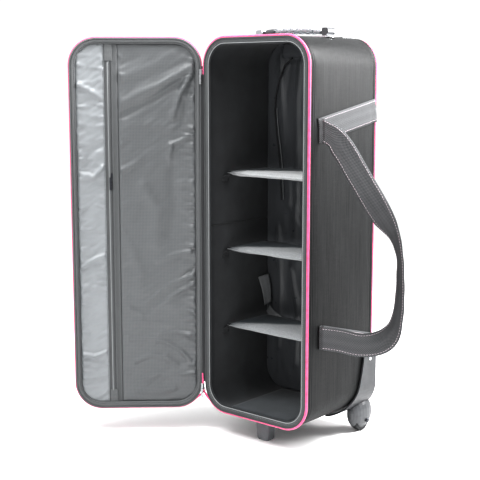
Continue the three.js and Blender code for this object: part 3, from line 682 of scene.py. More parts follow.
def cut_for_tray(obj, depth, rear_y):
    """Opens a wall of the case where the pull handle's tray goes through."""
    within = TRAY_FLANGE - TRAY_CLEAR
    carved(obj, (TRAY_LOW[0] + within, TRAY_LOW[1] + within, TOP_Z - depth),
           (TRAY_HIGH[0] - within, rear_y, TOP_Z + 9))


WALL_EDGE = -0.5
WALL_PUFF = 1.3
WALL_SEAMS = (7.5, 1.2), (12.5, 0.9)  # (distance from the wall's edge, width)


def wall_swell(y, normal_x):
    """How far the padded side walls stand out between their seams."""
    plateau = smoothstep(y, WALL_FRONT_Y + 8, WALL_FRONT_Y + 34)
    plateau = plateau * (1 - smoothstep(y, WALL_REAR_Y - 34, WALL_REAR_Y - 8))
    (first, width), (second, narrow) = WALL_SEAMS
    seams = bell(y, WALL_FRONT_Y + first, width) + bell(y, WALL_REAR_Y - first, width)
    inner_seam = bell(y, WALL_FRONT_Y + second, narrow)
    return WALL_EDGE + WALL_PUFF * plateau * normal_x**2 - 1.2 * seams - 0.7 * inner_seam


def case_fabric():
    y = np.concatenate([
        np.linspace(WALL_FRONT_Y, WALL_FRONT_Y + 16, 17),
        np.linspace(WALL_FRONT_Y + 20, WALL_REAR_Y - 16, 26),
        np.linspace(WALL_REAR_Y - 13, WALL_REAR_Y, 12),
    ])
    s = around(340)
    normal_x = outline_at(s)[:, 2]
    off = wall_swell(y[None, :], normal_x[:, None])
    turned_in = np.minimum(y - y[0], y[-1] - y)
    off = off - 0.9 * (1 - smoothstep(y - y[0], 0, 2))
    outer = np.stack([off, np.broadcast_to(y, off.shape)], -1)
    points = ring_points(s, outer)
    wobble = 0.35 * ripple(points, (70, 60, 110)) * smoothstep(turned_in, 6, 26)
    outer[..., 0] += wobble * normal_x[:, None] ** 2
    back = np.linspace(y[-1], y[0], 9)
    inner = np.stack([np.full_like(back, -SHELL_IN), back], -1)
    section = np.concatenate([outer, np.broadcast_to(inner, (len(s), *inner.shape))], 1)
    shell = ring_object("case_fabric", section, LOOKS["outer"], "case", len(s))
    cut_for_tray(shell, 12, WALL_REAR_Y + 5)
    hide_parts("case_shell")


PIPING_SIDES = 12
PIPING_BUMPS = 26  # length of the uneven swellings along a piping
TUCK_TOP, TUCK_LOW = 24, 30  # lengths over which a hinged piping turns in at its ends


def closed_piping(name, y, body, radius, offset, lid=False):
    count = 380
    centre = np.array((offset, y))
    section = np.broadcast_to(circle(radius, PIPING_SIDES, centre), (count, PIPING_SIDES, 2))
    swell = 1 + 0.035 * ripple(ring_points(around(count), section)[:, 0], PIPING_BUMPS, 3.0)
    section = centre + (section - centre) * swell[:, None, None]
    return ring_object(name, section, LOOKS["piping"], body, count, lid=lid)


def hinged_piping(name, y, body, radius=PIPING_R, lid=False):
    """Piping that leaves the outline at the hinge, beside the upper zip slider and behind the lower one."""
    low_s = HINGE_LOW_Z - 16 - BASE_Z - CORNER_R  # measured from the foot of the left side
    high_s = HINGE_HIGH_Z - 15 - BASE_Z - CORNER_R
    s = np.linspace(high_s, PERIMETER + low_s, 360)
    x, z, _, _ = outline_at(s).T
    tuck = 0.3 * (1 - smoothstep(s - s[0], 0, TUCK_TOP)) + 1 - smoothstep(s[-1] - s, 0, TUCK_LOW)
    target_x, target_y = HINGE_X - 0.2, HINGE_Y - 1.2
    line = np.stack([x + (target_x - x) * tuck, y + (target_y - y) * tuck, z], -1)
    slim = 1 - 0.5 * smoothstep(tuck, 0.3, 1) - 0.4 * (1 - smoothstep(s - s[0], 0, 3))
    girth = radius * slim * (1 + 0.03 * ripple(line, PIPING_BUMPS, 3.0))
    return tube_object(name, line, girth, LOOKS["piping"], body, PIPING_SIDES, lid=lid)


def pipings():
    front = hinged_piping("case_front_piping", FRONT_Y, "case")
    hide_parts("front_piping")
    rear = closed_piping("case_rear_piping", REAR_Y - 0.6, "case", 1.6, -2.5)
    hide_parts("rear_piping")
    inner = hinged_piping("lid_front_piping", LID_Y - 0.5, "lid", 2.5, lid=True)
    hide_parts("lid_inner_piping")
    outer = closed_piping("lid_back_piping", LID_OUT_Y + 0.6, "lid", 1.8, -1.5, lid=True)
    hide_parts("lid_outer_piping")


CASE_TAPE_SECTION = np.array([  # (offset from the outline, depth from the mouth)
    (-2.2, 2.6), (-0.5, -2.4), (-0.7, -3.1), (-2.4, -3.2), (-3.6, -2.3), (-4.6, -2.6),
    (-7.0, -2.4), (-9.4, -1.9), (-10.8, -1.0), (-12.4, 0.4), (-12.2, 1.2), (-8.0, 2.4)])


def case_tape():
    """Zip tape round the mouth: chain at its outer edge, pale binding near its inner one, then the felt."""
    y = FRONT_Y
    section = np.array((0.0, y)) + CASE_TAPE_SECTION
    tape = ring_object("case_tape", section, LOOKS["tape"], "case")
    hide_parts("case_zip_tape")
    binding = ring_object("case_rim_binding", circle(0.95, 8, (-11.4, y - 0.9)), LOOKS["binding"], "case")
    welt = ring_object("case_rim_welt", circle(1.9, 10, (-13.0, y + 1.6)), LOOKS["felt"], "case")
    seam = ring_seam(-8.6, y - 2.2, -1.0)
    stitches = thread_object("case_rim_stitches", [seam], LOOKS["grey_thread"], "case", 2.6, 1.6, 0.32)
    chain = ring_points(around(900), [(-3.5, y - 2.7)])[:, 0]
    teeth = ring_teeth("case_zip_chain", chain, "case")


def ring_seam(offset, y, facing):
    """A stitch line round the mouth, and the way its cloth faces."""
    line = ring_points(around(560), [(offset, y)])[:, 0]
    line = np.vstack([line, line[:1]])
    return line, np.tile((0.0, facing, 0.0), (len(line), 1))


def ring_teeth(name, line, body, lid=False):
    """A zip chain round the mouth, as a cord whose girth beats with its teeth."""
    beat = 0.62 + 0.2 * (np.arange(len(line)) % 2)
    line = np.vstack([line, line[:1]])
    beat = np.append(beat, beat[0])
    return tube_object(name, line, beat, LOOKS["coil"], body, 6, lid=lid)


LINING_SEAM_Z = 438.0  # the seam across the left wall


def case_lining():
    y_low, y_high = WALL_FRONT_Y, cad_mm("case_lining")[1][1]
    y = np.linspace(y_low, y_high, 34)
    s = around(330)
    outer_off, inner_off = -SHELL_IN - 0.3, -SHELL_IN - 1.8
    inner = np.stack(np.broadcast_arrays(np.full((len(s), 1), inner_off), y), -1)
    points = ring_points(s, inner)
    puff = 0.7 * ripple(points, (60, 55, 90), 7.0) + 0.3 * ripple(points, 24, 2.0)
    seam = bell(points[..., 2], LINING_SEAM_Z, 2.2) * (points[..., 0] < 0)
    turned = smoothstep(y - y_low, 2, 16)[None, :]
    inner[..., 0] += (puff - 0.6) * turned + 0.9 * seam
    back = np.linspace(y_high, y_low, 9)
    outer = np.stack([np.full_like(back, outer_off), back], -1)
    section = np.concatenate([inner, np.broadcast_to(outer, (len(s), *outer.shape))], 1)
    lining = ring_object("case_felt", section, LOOKS["felt"], "case")
    cut_for_tray(lining, 22, REAR_Y + 5)
    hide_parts("case_lining")
    wall = -HALF_W - inner_off + 0.6
    ys = np.linspace(y_low + 4, REAR_LINING_Y - 2, 40)
    drop = 4 * bell(ys, y_low + 6, 7)
    line = spread(wall, ys, LINING_SEAM_Z + drop)
    seam_cord = tube_object("lining_seam", line, 0.9, LOOKS["seam"], "case", 8)


def crowned_panel(name, body, face_y, out, crown, seam, wobble, seed, fade, counts, depth, lid=False):
    """A padded panel with a low crown and a sunk seam near its edge; out is 1 when it faces the rear."""
    x, z = rounded_sheet(-HALF_W + PANEL_IN, HALF_W - PANEL_IN, BASE_Z + PANEL_IN, TOP_Z - PANEL_IN,
                         CORNER_R - PANEL_IN, *counts)
    edge = np.minimum(np.minimum(HALF_W - PANEL_IN - np.abs(x), z - BASE_Z - PANEL_IN), TOP_Z - PANEL_IN - z)
    rise = crown[0] * smoothstep(edge, 0, crown[1]) - 0.9 * bell(edge, *seam)
    points = spread(x, face_y + out * rise, z)
    points[..., 1] += wobble * ripple(points, (60, 60, 90), seed) * smoothstep(edge, 4, fade)
    panel = grid_object(name, points, LOOKS["outer"], body, u=z[:, 0], v=x[0], lid=lid)
    return thick(panel, depth, out)


def rear_panel():
    panel = crowned_panel("rear_fabric", "case", REAR_Y + 0.9, 1.0, crown=(1.1, 34), seam=(9, 1.6),
                          wobble=0.3, seed=5.0, fade=30, counts=(40, 100), depth=4.0)
    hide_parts("rear_panel")


POCKET_ARCH = [(-53.0, 150.0, 782.0), (-74, 150, 768), (-90, 150, 735), (-99, 150, 700), (-101, 150, 668),
               (-96, 149, 630), (-90, 149, 590), (-84, 149, 548), (-82, 150, 480)]
REAR_FOLDS = [  # (points along it, height at its start, at its end, width)
    ([(-92, 786), (-84, 690), (-78, 600)], 5, 2, 7),
    ([(-62, 786), (-70, 700), (-60, 610), (-64, 480)], -4, 3, 8),
    ([(-34, 780), (-44, 690), (-40, 560), (-48, 400)], 5, 3, 9),
    ([(-8, 786), (-12, 650), (-4, 500), (-16, 300)], -4, 5, 10),
    ([(24, 780), (18, 640), (28, 480), (14, 260), (18, 120)], 6, 4, 9),
    ([(56, 786), (50, 620), (60, 420), (44, 200)], -5, 4, 10),
    ([(88, 770), (84, 600), (92, 400), (80, 160)], 5, 4, 9),
    ([(-46, 470), (-20, 430), (10, 420)], 3, 0, 8),
    ([(-90, 500), (-50, 450), (-20, 400)], 3, 1, 6),
    ([(-60, 330), (-40, 250), (-44, 120)], 5, 3, 8),
    ([(-96, 420), (-88, 300), (-92, 150)], 4, 3, 7),
    ([(0, 330), (-6, 200), (4, 90)], 4, 3, 7),
]


def rear_lining():
    """Loose nylon across the back of the inside, in tall folds, with an arched zip near its left side."""
    low, high = cad_mm("rear_lining_panel")
    top_z = TOP_Z - SHELL_IN - 2.4
    arch = np.array(POCKET_ARCH)
    x, z = rounded_sheet(low[0], high[0], low[2], top_z, CORNER_R - 7, 96, 170)
    height = 0.7 * ridge_field(x, z, REAR_FOLDS)
    flat = np.stack([x, np.zeros_like(x), z], -1)
    height += 2.6 * ripple(flat, (46, 1, 90), 4.0) + 1.5 * ripple(flat, (19, 1, 34), 9.0)
    edge = np.minimum(np.minimum(high[0] - np.abs(x), z - low[2]), top_z - z)
    arch_x = np.interp(z, arch[::-1, 2], arch[::-1, 0])
    height += 3.0 * smoothstep(x - arch_x, -2, 2) * smoothstep(z, 470, 520) * (1 - smoothstep(z, 770, 784))
    y = REAR_LINING_Y + 0.8 - np.clip(height, -2.5, 9) * smoothstep(edge, 2, 26)
    y = np.minimum(y, REAR_LINING_Y + 3.0)
    over_tray = smoothstep(z, 780, 791) * (1 - smoothstep(np.abs(x), 77, 85))
    y += (TRAY_LOW[1] + 3.6 - y) * over_tray
    points = np.stack([x, y, z], -1)
    sheet = grid_object("rear_nylon", points, LOOKS["nylon"], "case", u=z[:, 0], v=x[0])
    thick(sheet, 0.8, 1.0)
    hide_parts("rear_lining_panel")
    arch = resampled(arch, 6)
    rim = tube_object("rear_pocket_rim", arch, 1.5, LOOKS["dark_webbing"], "case", 8)
    inner = arch[arch[:, 2] < 680] + np.array([5.5, 0.8, 0])
    flap = tube_object("rear_pocket_edge", inner, 1.1, LOOKS["grey_thread"], "case", 8)


def floor_pad():
    low, high = cad_mm("floor_board")
    x = np.linspace(low[0], high[0], 30)
    y = np.linspace(low[1], high[1], 30)
    px, py = flat_grid(x, y)
    edge = np.minimum(np.minimum(px - low[0], high[0] - px), np.minimum(py - low[1], high[1] - py))
    pz = high[2] - 1.6 * (1 - smoothstep(edge, 0, 5))
    points = np.stack([px, py, pz], -1)
    points[..., 2] += 0.25 * ripple(points, 30, 2.0)
    pad = grid_object("floor_cover", points, LOOKS["floor_cloth"], "case")
    thick(pad, 1.2, -1.0)
    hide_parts("floor_board")


HINGE_WEBS = (
    ("case_hinge_web", "case", False, [(-129.0, -36.6), (-131.5, -38.9), (-134.0, -40.4), (-136.4, -40.6)]),
    ("lid_hinge_web", "lid", True, [(-129.0, -46.4), (-131.5, -44.2), (-134.0, -42.8), (-136.4, -41.8)]),
)  # each half of the hinge cloth, as (x, y) from its seam to the hinge line


def hinge_strip():
    """Ribbed fabric hinge between the two pipings, with a short piping at its foot."""
    z = np.arange(HINGE_LOW_Z + 4, HINGE_HIGH_Z - 2, 7.0)
    t = np.linspace(0, 1, 29)
    angle = np.radians(-18 - 190 * t)
    radius = 2.4 + 0.28 * np.sin(t * 2 * math.pi * 6)
    x = HINGE_X + 0.4 + radius * np.cos(angle) * 1.1
    y = HINGE_Y - 0.2 + radius * np.sin(angle)
    strip = grid_object("hinge_fabric", spread(x, y, z[:, None]), LOOKS["dark_webbing"], "case")
    thick(strip, 0.9, 0.0)
    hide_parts("hinge_strip")
    for name, body, lid, route in HINGE_WEBS:
        line = resampled(np.array(route), 0.35)
        ribs = 0.22 * np.sin(lengths(line) * 2 * math.pi / 1.7)
        zs = np.arange(HINGE_LOW_Z - 2, HINGE_HIGH_Z + 5, 7.0)
        points = spread(line[:, 0], line[:, 1] + (ribs if lid else -ribs), zs[:, None])
        web = grid_object(name, points, LOOKS["dark_webbing"], body, lid=lid)
        thick(web, 1.0, 0.0)
    ends = np.array([(HINGE_X - 1.2, HINGE_Y - 2.6, HINGE_LOW_Z + up) for up in (-10, 16)])
    bar = tube_object("hinge_low_piping", resampled(ends, 3), 2.1, LOOKS["piping"], "case", 10)


# ---------------------------------------------------------------- dividers


PAD_FRAMES = 20
PAD_VOXEL = 0.0045
DIVIDER_SAG = 1.2
DIVIDERS = (("top", -3.0, 1.0), ("middle", -3.5, 5.0), ("bottom", -3.0, 9.0))  # (place, tilt, seed)


def simulated_pad(obj, pressure, cap):
    """Blows a remeshed pad up with the cloth solver; no point moves more than cap millimetres."""
    rest = np.array([v.co for v in obj.data.vertices])
    modifier(obj, "CLOTH")
    cloth = obj.modifiers["cloth"]
    cloth.settings.use_pressure = True
    cloth.settings.uniform_pressure_force = pressure
    cloth.settings.effector_weights.gravity = 0.0
    cloth.settings.quality = 5
    cloth.settings.tension_stiffness = 25
    cloth.settings.compression_stiffness = 25
    cloth.settings.bending_stiffness = 0.8
    cloth.point_cache.frame_start = 1
    cloth.point_cache.frame_end = PAD_FRAMES
    scene = bpy.context.scene
    for step in range(1, PAD_FRAMES + 1):
        scene.frame_set(step)
    applied(obj)
    scene.frame_set(1)
    now = np.array([v.co for v in obj.data.vertices])
    move = now - rest
    far = np.linalg.norm(move, axis=1)
    limit = cap * MM
    keep = np.where(far > limit, limit / np.maximum(far, 1e-12), 1.0)
    obj.data.vertices.foreach_set("co", (rest + move * keep[:, None]).astype(np.float32).ravel())
    return obj


def divider(place, tilt, seed):
    """A padded shelf: puffed between its front and rear seams, with a folded tab at its left end."""
    low, high = cad_mm("divider_" + place)
    name = "divider_" + place
    inset = 2.2
    x = np.linspace(low[0] + inset, high[0] - inset, 50)
    y = np.linspace(low[1] + inset, high[1] - inset, 28)
    px, py = flat_grid(x, y)
    half = (high[2] - low[2]) / 2 - 2.4
    middle = (high[2] + low[2]) / 2
    edge = np.minimum(np.minimum(px - x[0], x[-1] - px), np.minimum(py - y[0], y[-1] - py))
    lift = half * np.sqrt(smoothstep(edge, -1.5, 9))
    top = np.stack([px, py, middle + lift], -1)
    low_side = np.stack([px, py, middle - lift], -1)
    upper = grid_object(name + "_pad", top, LOOKS[name], None)
    lower = grid_object(name + "_low", low_side, LOOKS[name], None)
    pad = joined(name + "_pad", [upper, lower])
    modifier(pad, "REMESH", mode="VOXEL", voxel_size=PAD_VOXEL)
    applied(pad)
    simulated_pad(pad, 4.0, 2.6)
    points = np.array([v.co for v in pad.data.vertices]) / MM
    front = 1 - smoothstep(points[:, 1], low[1], low[1] + 30)
    seam = bell(points[:, 2], middle, 1.2) * (points[:, 1] < low[1] + 6)
    points[:, 1] += 0.9 * seam
    across = (points[:, 0] - low[0]) / (high[0] - low[0])
    points[:, 2] += tilt * across * front - DIVIDER_SAG * np.sin(math.pi * across) * front
    points[:, 2] += 0.5 * ripple(points, (26, 20, 30), seed)
    points[:, 2] = np.clip(points[:, 2], low[2] - 2.5, high[2] + 2.5)
    points[:, 0] = np.clip(points[:, 0], low[0], high[0])
    pad.data.vertices.foreach_set("co", (points * MM).astype(np.float32).ravel())
    modifier(pad, "SUBSURF", levels=1, render_levels=1)
    applied(pad)
    pad.data.polygons.foreach_set("use_smooth", [True] * len(pad.data.polygons))
    body = "divider_" + place + "_body"
    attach(pad, body)
    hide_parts(name)

    ys = np.full(40, low[1] - 0.4)
    xs = np.linspace(low[0] + 8, high[0] - 5, 40)
    share = (xs - low[0]) / (high[0] - low[0])
    zs = middle + 1.4 + tilt * share - DIVIDER_SAG * np.sin(math.pi * share)
    line = np.stack([xs, ys, zs], -1)
    normals = np.tile((0.0, -1.0, 0.3), (40, 1))
    seam_cord = tube_object(name + "_edge_cord", line, 0.7, LOOKS["binding"], body, 6)
    stitch = thread_object(name + "_stitches", [(line + (0, 5.5, 4.4), normals * (0, 0, 3))],
                           LOOKS["grey_thread"], body, 3.0, 2.0, 0.3)

    turn = np.linspace(0, 1, 12)
    path = [(low[0] + 7 - 9 * math.sin(t * 2.6), low[1] + 5 - 3 * t, middle - 3 - 14 * t) for t in turn]
    stations = [(p, (0.35, 0.94, 0.0), (0.94, -0.35, 0.0)) for p in path]
    stations = [((max(p[0], low[0] - 1.5), p[1], p[2]), a, b) for p, a, b in stations]
    tab = strap_object(name + "_tab", stations, 16, 1.6, LOOKS["dark_webbing"], body)


# ---------------------------------------------------------------- tie strap


TAB_BOW, TAB_REACH = 3.0, 13.0  # how far the wall tab bulges, and how far its free end stands out


def tie_strap():
    low, high = cad_mm("tie_strap_tab")
    rows = []
    for t in np.linspace(0, 1, 16):
        half = (high[1] - low[1]) / 2 * (1 - 0.35 * t)
        middle = (high[1] + low[1]) / 2 + 2 * t
        bow = TAB_BOW * math.sin(math.pi * t) + TAB_REACH * t
        rows.append(((low[0] + 0.9 + bow, middle, high[2] - t * (high[2] - low[2])), half))
    points = []
    for (x, y, z), half in rows:
        a = np.linspace(-1, 1, 9)
        face = np.stack([x + 0.5 * np.sin(3 * a) + 0.3 * half * (a + 1), y + half * a, z + 3 * a], -1)
        points.append(face)
    tab = grid_object("wall_tab", np.array(points), LOOKS["wall_webbing"], "case")
    thick(tab, 1.5, 0.0)
    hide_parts("tie_strap_tab")

    low, high = cad_mm("tie_strap")
    start = np.array((low[0] + 5.5, (low[1] + high[1]) / 2, high[2] - 8))
    end = np.array((high[0] - 5.5, (low[1] + high[1]) / 2, low[2] + 8))
    way = (end - start) / np.linalg.norm(end - start)
    across = np.cross((0.0, 1.0, 0.0), way)
    stations = []
    for t in np.linspace(0, 1, 18):
        sag = np.array((0, -1.8 * math.sin(2 * math.pi * t), -2.5 * math.sin(math.pi * t)))
        stations.append((start + t * (end - start) + sag, across, (0.0, 1.0, 0.0)))
    strap = strap_object("wall_strap", stations, 18, 1.5, LOOKS["wall_webbing"], "case")
    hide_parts("tie_strap")


# ---------------------------------------------------------------- lid


def lid_shell():
    y0, y1 = LID_OUT_Y, LID_Y
    y = np.linspace(y0 + PIPING_R + 0.3, y1 - PIPING_R - 0.3, 14)
    middle = smoothstep(y - y[0], 0, 5) * smoothstep(y[-1] - y, 0, 5)
    off = -0.5 + 0.8 * middle - 0.6 * (1 - smoothstep(np.minimum(y - y[0], y[-1] - y), 0, 2))
    back = y[::-2]
    section = np.concatenate([np.stack([off, y], -1), np.stack([np.full_like(back, -4.6), back], -1)])
    wall = ring_object("lid_wall_fabric", section, LOOKS["outer"], "lid", lid=True)
    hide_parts("lid_shell")

    panel = crowned_panel("lid_panel_fabric", "lid", y0 - 0.4, -1.0, crown=(2.6, 60), seam=(8, 1.5),
                          wobble=0.5, seed=11.0, fade=40, counts=(44, 110), depth=3.0, lid=True)
    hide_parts("lid_shell")


LID_TAPE_SECTION = np.array([
    (-2.2, -2.6), (0.7, 1.9), (0.5, 2.6), (-1.8, 3.1), (-3.2, 2.1), (-4.4, 2.4),
    (-7.0, 2.2), (-9.4, 1.2), (-11.2, -0.6), (-12.0, -2.6), (-10.6, -3.2), (-6.0, -1.6)])


def lid_tape():
    y = LID_Y
    section = np.array((0.0, y)) + LID_TAPE_SECTION
    tape = ring_object("lid_tape", section, LOOKS["lid_tape"], "lid", lid=True)
    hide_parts("lid_zip_tape")
    edge = ring_object("lid_rim_edge", circle(0.7, 8, (-6.4, y + 2.1)), LOOKS["lid_tape"], "lid", lid=True)
    seam = ring_seam(-9.4, y + 1.5, 1.0)
    stitches = thread_object("lid_rim_stitches", [seam], LOOKS["dark_thread"], "lid",
                             2.6, 1.6, 0.34, lid=True)
    chain = ring_points(around(900), [(-3.1, y + 2.4)])[:, 0]
    teeth = ring_teeth("lid_zip_chain", chain, "lid", lid=True)


def puckers(rng, edge_x, inward, z_low, z_high, spacing, length, height):
    """Short gathers that leave a sewn edge, at about even spacing."""
    made = []
    z = z_low + spacing * rng.random()
    while z < z_high:
        long = length * (0.5 + rng.random())
        rise = rng.uniform(-7, 9)
        line = [(edge_x, z), (edge_x + inward * long * 0.5, z + rise * 0.5),
                (edge_x + inward * long, z + rise)]
        made.append((line, height * (0.25 + rng.random()), 0.0, 2.8 + 3.6 * rng.random()))
        z += spacing * (0.6 + 0.8 * rng.random())
    return made


ZIP_LOW_X, ZIP_HIGH_X = 36.0, 63.0  # the pocket's zip band, in the closed lid's frame
RIM = 12  # the lining is sewn down this far in from the piping's centre line


def lining_sheet(name, node, sides, ridges, look, columns, fine, seed):
    """One side of the lid's lining, with folds that rise towards the inside of the case."""
    x_low, x_high = sides
    inset = 4.9
    x, z = rounded_sheet(-HALF_W + inset, HALF_W - inset, BASE_Z + inset, TOP_Z - inset, CORNER_R - inset,
                         columns, 300, sides)
    height = ridge_field(x, z, ridges)
    flat = np.stack([x, np.zeros_like(x), z], -1)
    slanted = flat + 0.6 * flat[..., :1] * (0.0, 0.0, 1.0)
    height += fine * ripple(slanted, (26, 1, 10), seed) + 1.1 * fine * ripple(slanted, (60, 1, 34), seed + 3)
    across = np.minimum(x - np.maximum(x_low, RIM - HALF_W), np.minimum(x_high, HALF_W - RIM) - x)
    edge = np.minimum(across, np.minimum(z - BASE_Z - RIM, TOP_Z - RIM - z))
    y = LID_LINING_Y + np.clip(1.6 * height, -3.4, 8.5) * smoothstep(edge, -1, 6)
    y -= 2.2 * (1 - smoothstep(edge, -6, 5))
    points = np.stack([x, y, z], -1)
    sheet = grid_object(name, points, look, "lid", u=z[:, 0], v=x[len(x) // 2] - x_low, lid=True)
    thick(sheet, 0.7, 1.0)
    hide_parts(node)
    return sheet


LID_FOLDS = [  # as in REAR_FOLDS, with x measured from the hinge side
    ([(165, 690), (90, 724), (20, 762)], 2.5, 5.0, 12),
    ([(165, 664), (92, 700), (22, 745)], -3.5, -2.5, 10),
    ([(160, 742), (100, 764), (60, 790)], 2.5, 1.5, 12),
    ([(164, 768), (130, 782)], -2.0, -0.5, 8),
    ([(20, 750), (44, 706), (58, 662)], 6.0, 2.5, 6.5),
    ([(14, 742), (30, 690), (38, 650)], -3.0, -1.0, 7),
    ([(62, 606), (44, 612), (28, 622)], 3.5, 2.0, 5),
    ([(62, 600), (66, 584), (64, 560)], 3.0, 0.5, 6),
    ([(165, 552), (138, 566), (108, 590)], 3.5, 0.5, 7),
    ([(150, 640), (100, 648), (60, 636)], 1.0, 2.0, 14),
    ([(120, 520), (90, 470), (96, 400)], 2.5, 1.5, 16),
    ([(60, 560), (56, 480), (66, 420)], -2.0, -1.5, 14),
    ([(150, 400), (128, 340), (132, 300)], 1.5, 2.0, 14),
    ([(93, 363), (60, 376), (24, 384)], 1.0, 3.5, 5),
    ([(112, 279), (70, 312), (5, 342)], 1.5, 4.5, 5),
    ([(100, 262), (62, 290), (14, 318)], 1.0, 3.5, 4.5),
    ([(84, 300), (40, 330), (6, 356)], -1.0, -2.5, 5),
    ([(150, 262), (128, 250), (126, 232)], 2.0, 0.5, 7),
    ([(152, 198), (110, 198), (74, 189), (44, 170), (26, 150)], 1.5, 3.0, 4.5),
    ([(92, 209), (56, 212), (26, 204)], 1.0, 3.5, 4.5),
    ([(140, 236), (96, 232), (60, 226)], 1.5, 0.5, 6),
    ([(138, 150), (110, 162), (78, 158), (54, 140)], 2.5, 2.0, 7),
    ([(120, 110), (92, 122), (60, 112)], 2.0, 1.0, 9),
    ([(140, 86), (100, 80), (60, 90)], 1.0, 2.0, 7),
]
STRIP_FOLDS = [  # with x measured from the zip
    ([(4, 560), (26, 540), (52, 546)], 5.5, 3.0, 5),
    ([(8, 606), (34, 588), (40, 560)], -3.0, -2.0, 9),
    ([(6, 700), (30, 716), (56, 728)], 2.0, 4.0, 6),
    ([(6, 376), (30, 366), (54, 352)], 4.5, 2.5, 5),
    ([(6, 170), (32, 160), (56, 168)], 4.5, 3.5, 4.5),
]


def shifted(folds, x):
    return [([(x + away, z) for away, z in line], *more) for line, *more in folds]


def lid_lining():
    rng = np.random.default_rng(4)
    side = -HALF_W
    folds = shifted(LID_FOLDS, side)
    folds += puckers(rng, side + 13, 1, 96, 780, 15, 32, 4.6)
    folds += puckers(rng, ZIP_LOW_X - 1, -1, 90, 790, 38, 18, 1.6)
    lining_sheet("lid_lining_cloth", "lid_lining_main", (-HALF_W, ZIP_LOW_X - 0.3), folds, LOOKS["silver"],
                 90, 0.7, 2.0)

    gathers = puckers(rng, ZIP_HIGH_X + 2, 1, 70, 800, 21, 30, 2.2)
    gathers += puckers(rng, HALF_W - 13, -1, 80, 790, 19, 34, 3.0)
    gathers += shifted(STRIP_FOLDS, ZIP_HIGH_X)
    # The strip's lighter cloth carries painted sheen.
    lining_sheet("lid_strip_cloth", "lid_lining_strip", (ZIP_HIGH_X + 0.3, HALF_W), gathers, LOOKS["satin"],
                 44, 1.3, 8.0)

    seam = upright_seam(ZIP_HIGH_X + 2.6, 0.9, 66, 806)
    seam = thread_object("lid_strip_stitches", [seam], LOOKS["dark_thread"], "lid", 3.0, 2.0, 0.42, lid=True)


def upright_seam(x, lift, low_z, high_z):
    """A stitch line up the lid's lining, and the way its cloth faces."""
    z = np.linspace(low_z, high_z, 120)
    return spread(x, LID_LINING_Y + lift, z), np.tile((0.0, 1.0, 0.0), (120, 1))


ZIP_BAND_SECTION = np.array([  # (x in the closed lid, rise from the lining)
    (36.0, -0.9), (37.2, 0.5), (39.0, 0.7), (43.0, 0.5), (46.6, 0.9), (48.2, 1.5), (49.2, 0.2), (51.4, 0.2),
    (52.6, 1.5), (54.4, 1.7), (57.6, 1.6), (58.6, 0.4), (61.0, 0.5), (62.4, 0.4), (63.2, -0.9)])


ZIP_BAND_Z = (58.0, 812.0)
PATCH_X = (46.5, 62.0)


def pocket_zip():
    """The lid's vertical zip: two tapes folded back from the chain, with a sewn patch at each end."""
    low_z, high_z = ZIP_BAND_Z
    z = np.linspace(low_z, high_z, 120)
    y = LID_LINING_Y
    points = spread(ZIP_BAND_SECTION[:, 0], ZIP_BAND_SECTION[:, 1] + y, z[:, None])
    points = points + 0.25 * ripple(points, (12, 12, 30), 6.0)[..., None] * np.array((1.0, 0.6, 0.0))
    tape = grid_object("pocket_tape", points, LOOKS["pocket_tape"], "lid", lid=True)
    thick(tape, 0.7, 1.0)
    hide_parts("pocket_zip_tape")
    chain = np.array([(50.3, y + 0.9, h) for h in (low_z + 30, high_z - 36)])
    teeth = teeth_object("pocket_zip_chain", chain, (1.0, 0.0, 0.0), (0.0, 1.0, 0.0), LOOKS["coil"], "lid",
                         pitch=2.0, size=(1.15, 1.3, 0.8), lid=True)
    # Painted highlight: a pale cord along the ridge of the folded tape stands in for the light on the fold.
    ridge = np.array([(56.2, y + 1.9, h) for h in np.linspace(low_z + 4, high_z - 40, 60)])
    fold = tube_object("pocket_zip_fold_painted_highlight", ridge, 0.9, LOOKS["binding"], "lid", 8, lid=True)
    for name, lines in (("pale", ((38.4, 0.9), (54.0, 1.9))), ("dark", ((45.2, 0.95), (60.2, 0.75)))):
        seams = [upright_seam(x, lift, low_z + 4, high_z - 4) for x, lift in lines]
        look = LOOKS["grey_thread" if name == "pale" else "dark_thread"]
        stitches = thread_object(f"pocket_{name}_stitches", seams, look, "lid", 2.6, 1.7, 0.5, lid=True)
    patches = []
    for low, high in ((low_z + 1, low_z + 31), (high_z - 38, high_z - 2)):
        px, pz = flat_grid(np.linspace(*PATCH_X, 14), np.linspace(low, high, 14))
        away = np.minimum(np.minimum(px - PATCH_X[0], PATCH_X[1] - px), np.minimum(pz - low, high - pz))
        py = y + 1.9 + 0.5 * smoothstep(away, 0, 3) - 0.5 * bell(away, 3, 0.8)
        patch = grid_object("pocket_zip_patch", spread(px, py, pz), LOOKS["lid_tape"], "lid", lid=True)
        patches.append(thick(patch, 1.2, 0.0))
    patch = joined("pocket_zip_patches", patches)


# ---------------------------------------------------------------- webbing bands and carrying loops

BAND_ENDS = {"top": ((184.0, 676.0), (-8.0, 641.0)), "bottom": ((184.0, 189.0), (6.0, 237.0))}
LOOP_OUT = (math.cos(math.radians(45)), math.sin(math.radians(45)))
LOOP_START = (138.1, -3.0)
LOOP_ROUTE = [  # (distance out, height, twist in degrees)
    (2, 641, 0), (22, 628, 0), (44, 600, 0), (66, 563, 0), (92, 520, 5), (120, 474, 32), (144, 434, 72),
    (155, 395, 86), (157, 350, 84), (156, 302, 80), (150, 262, 72), (134, 235, 42), (108, 223, 12),
    (76, 222, 0), (40, 231, 0), (2, 237, 0)]
FOLD_EASE = 48.0
SEAM_IN = 4.4  # stitch lines, in from the webbing's edges


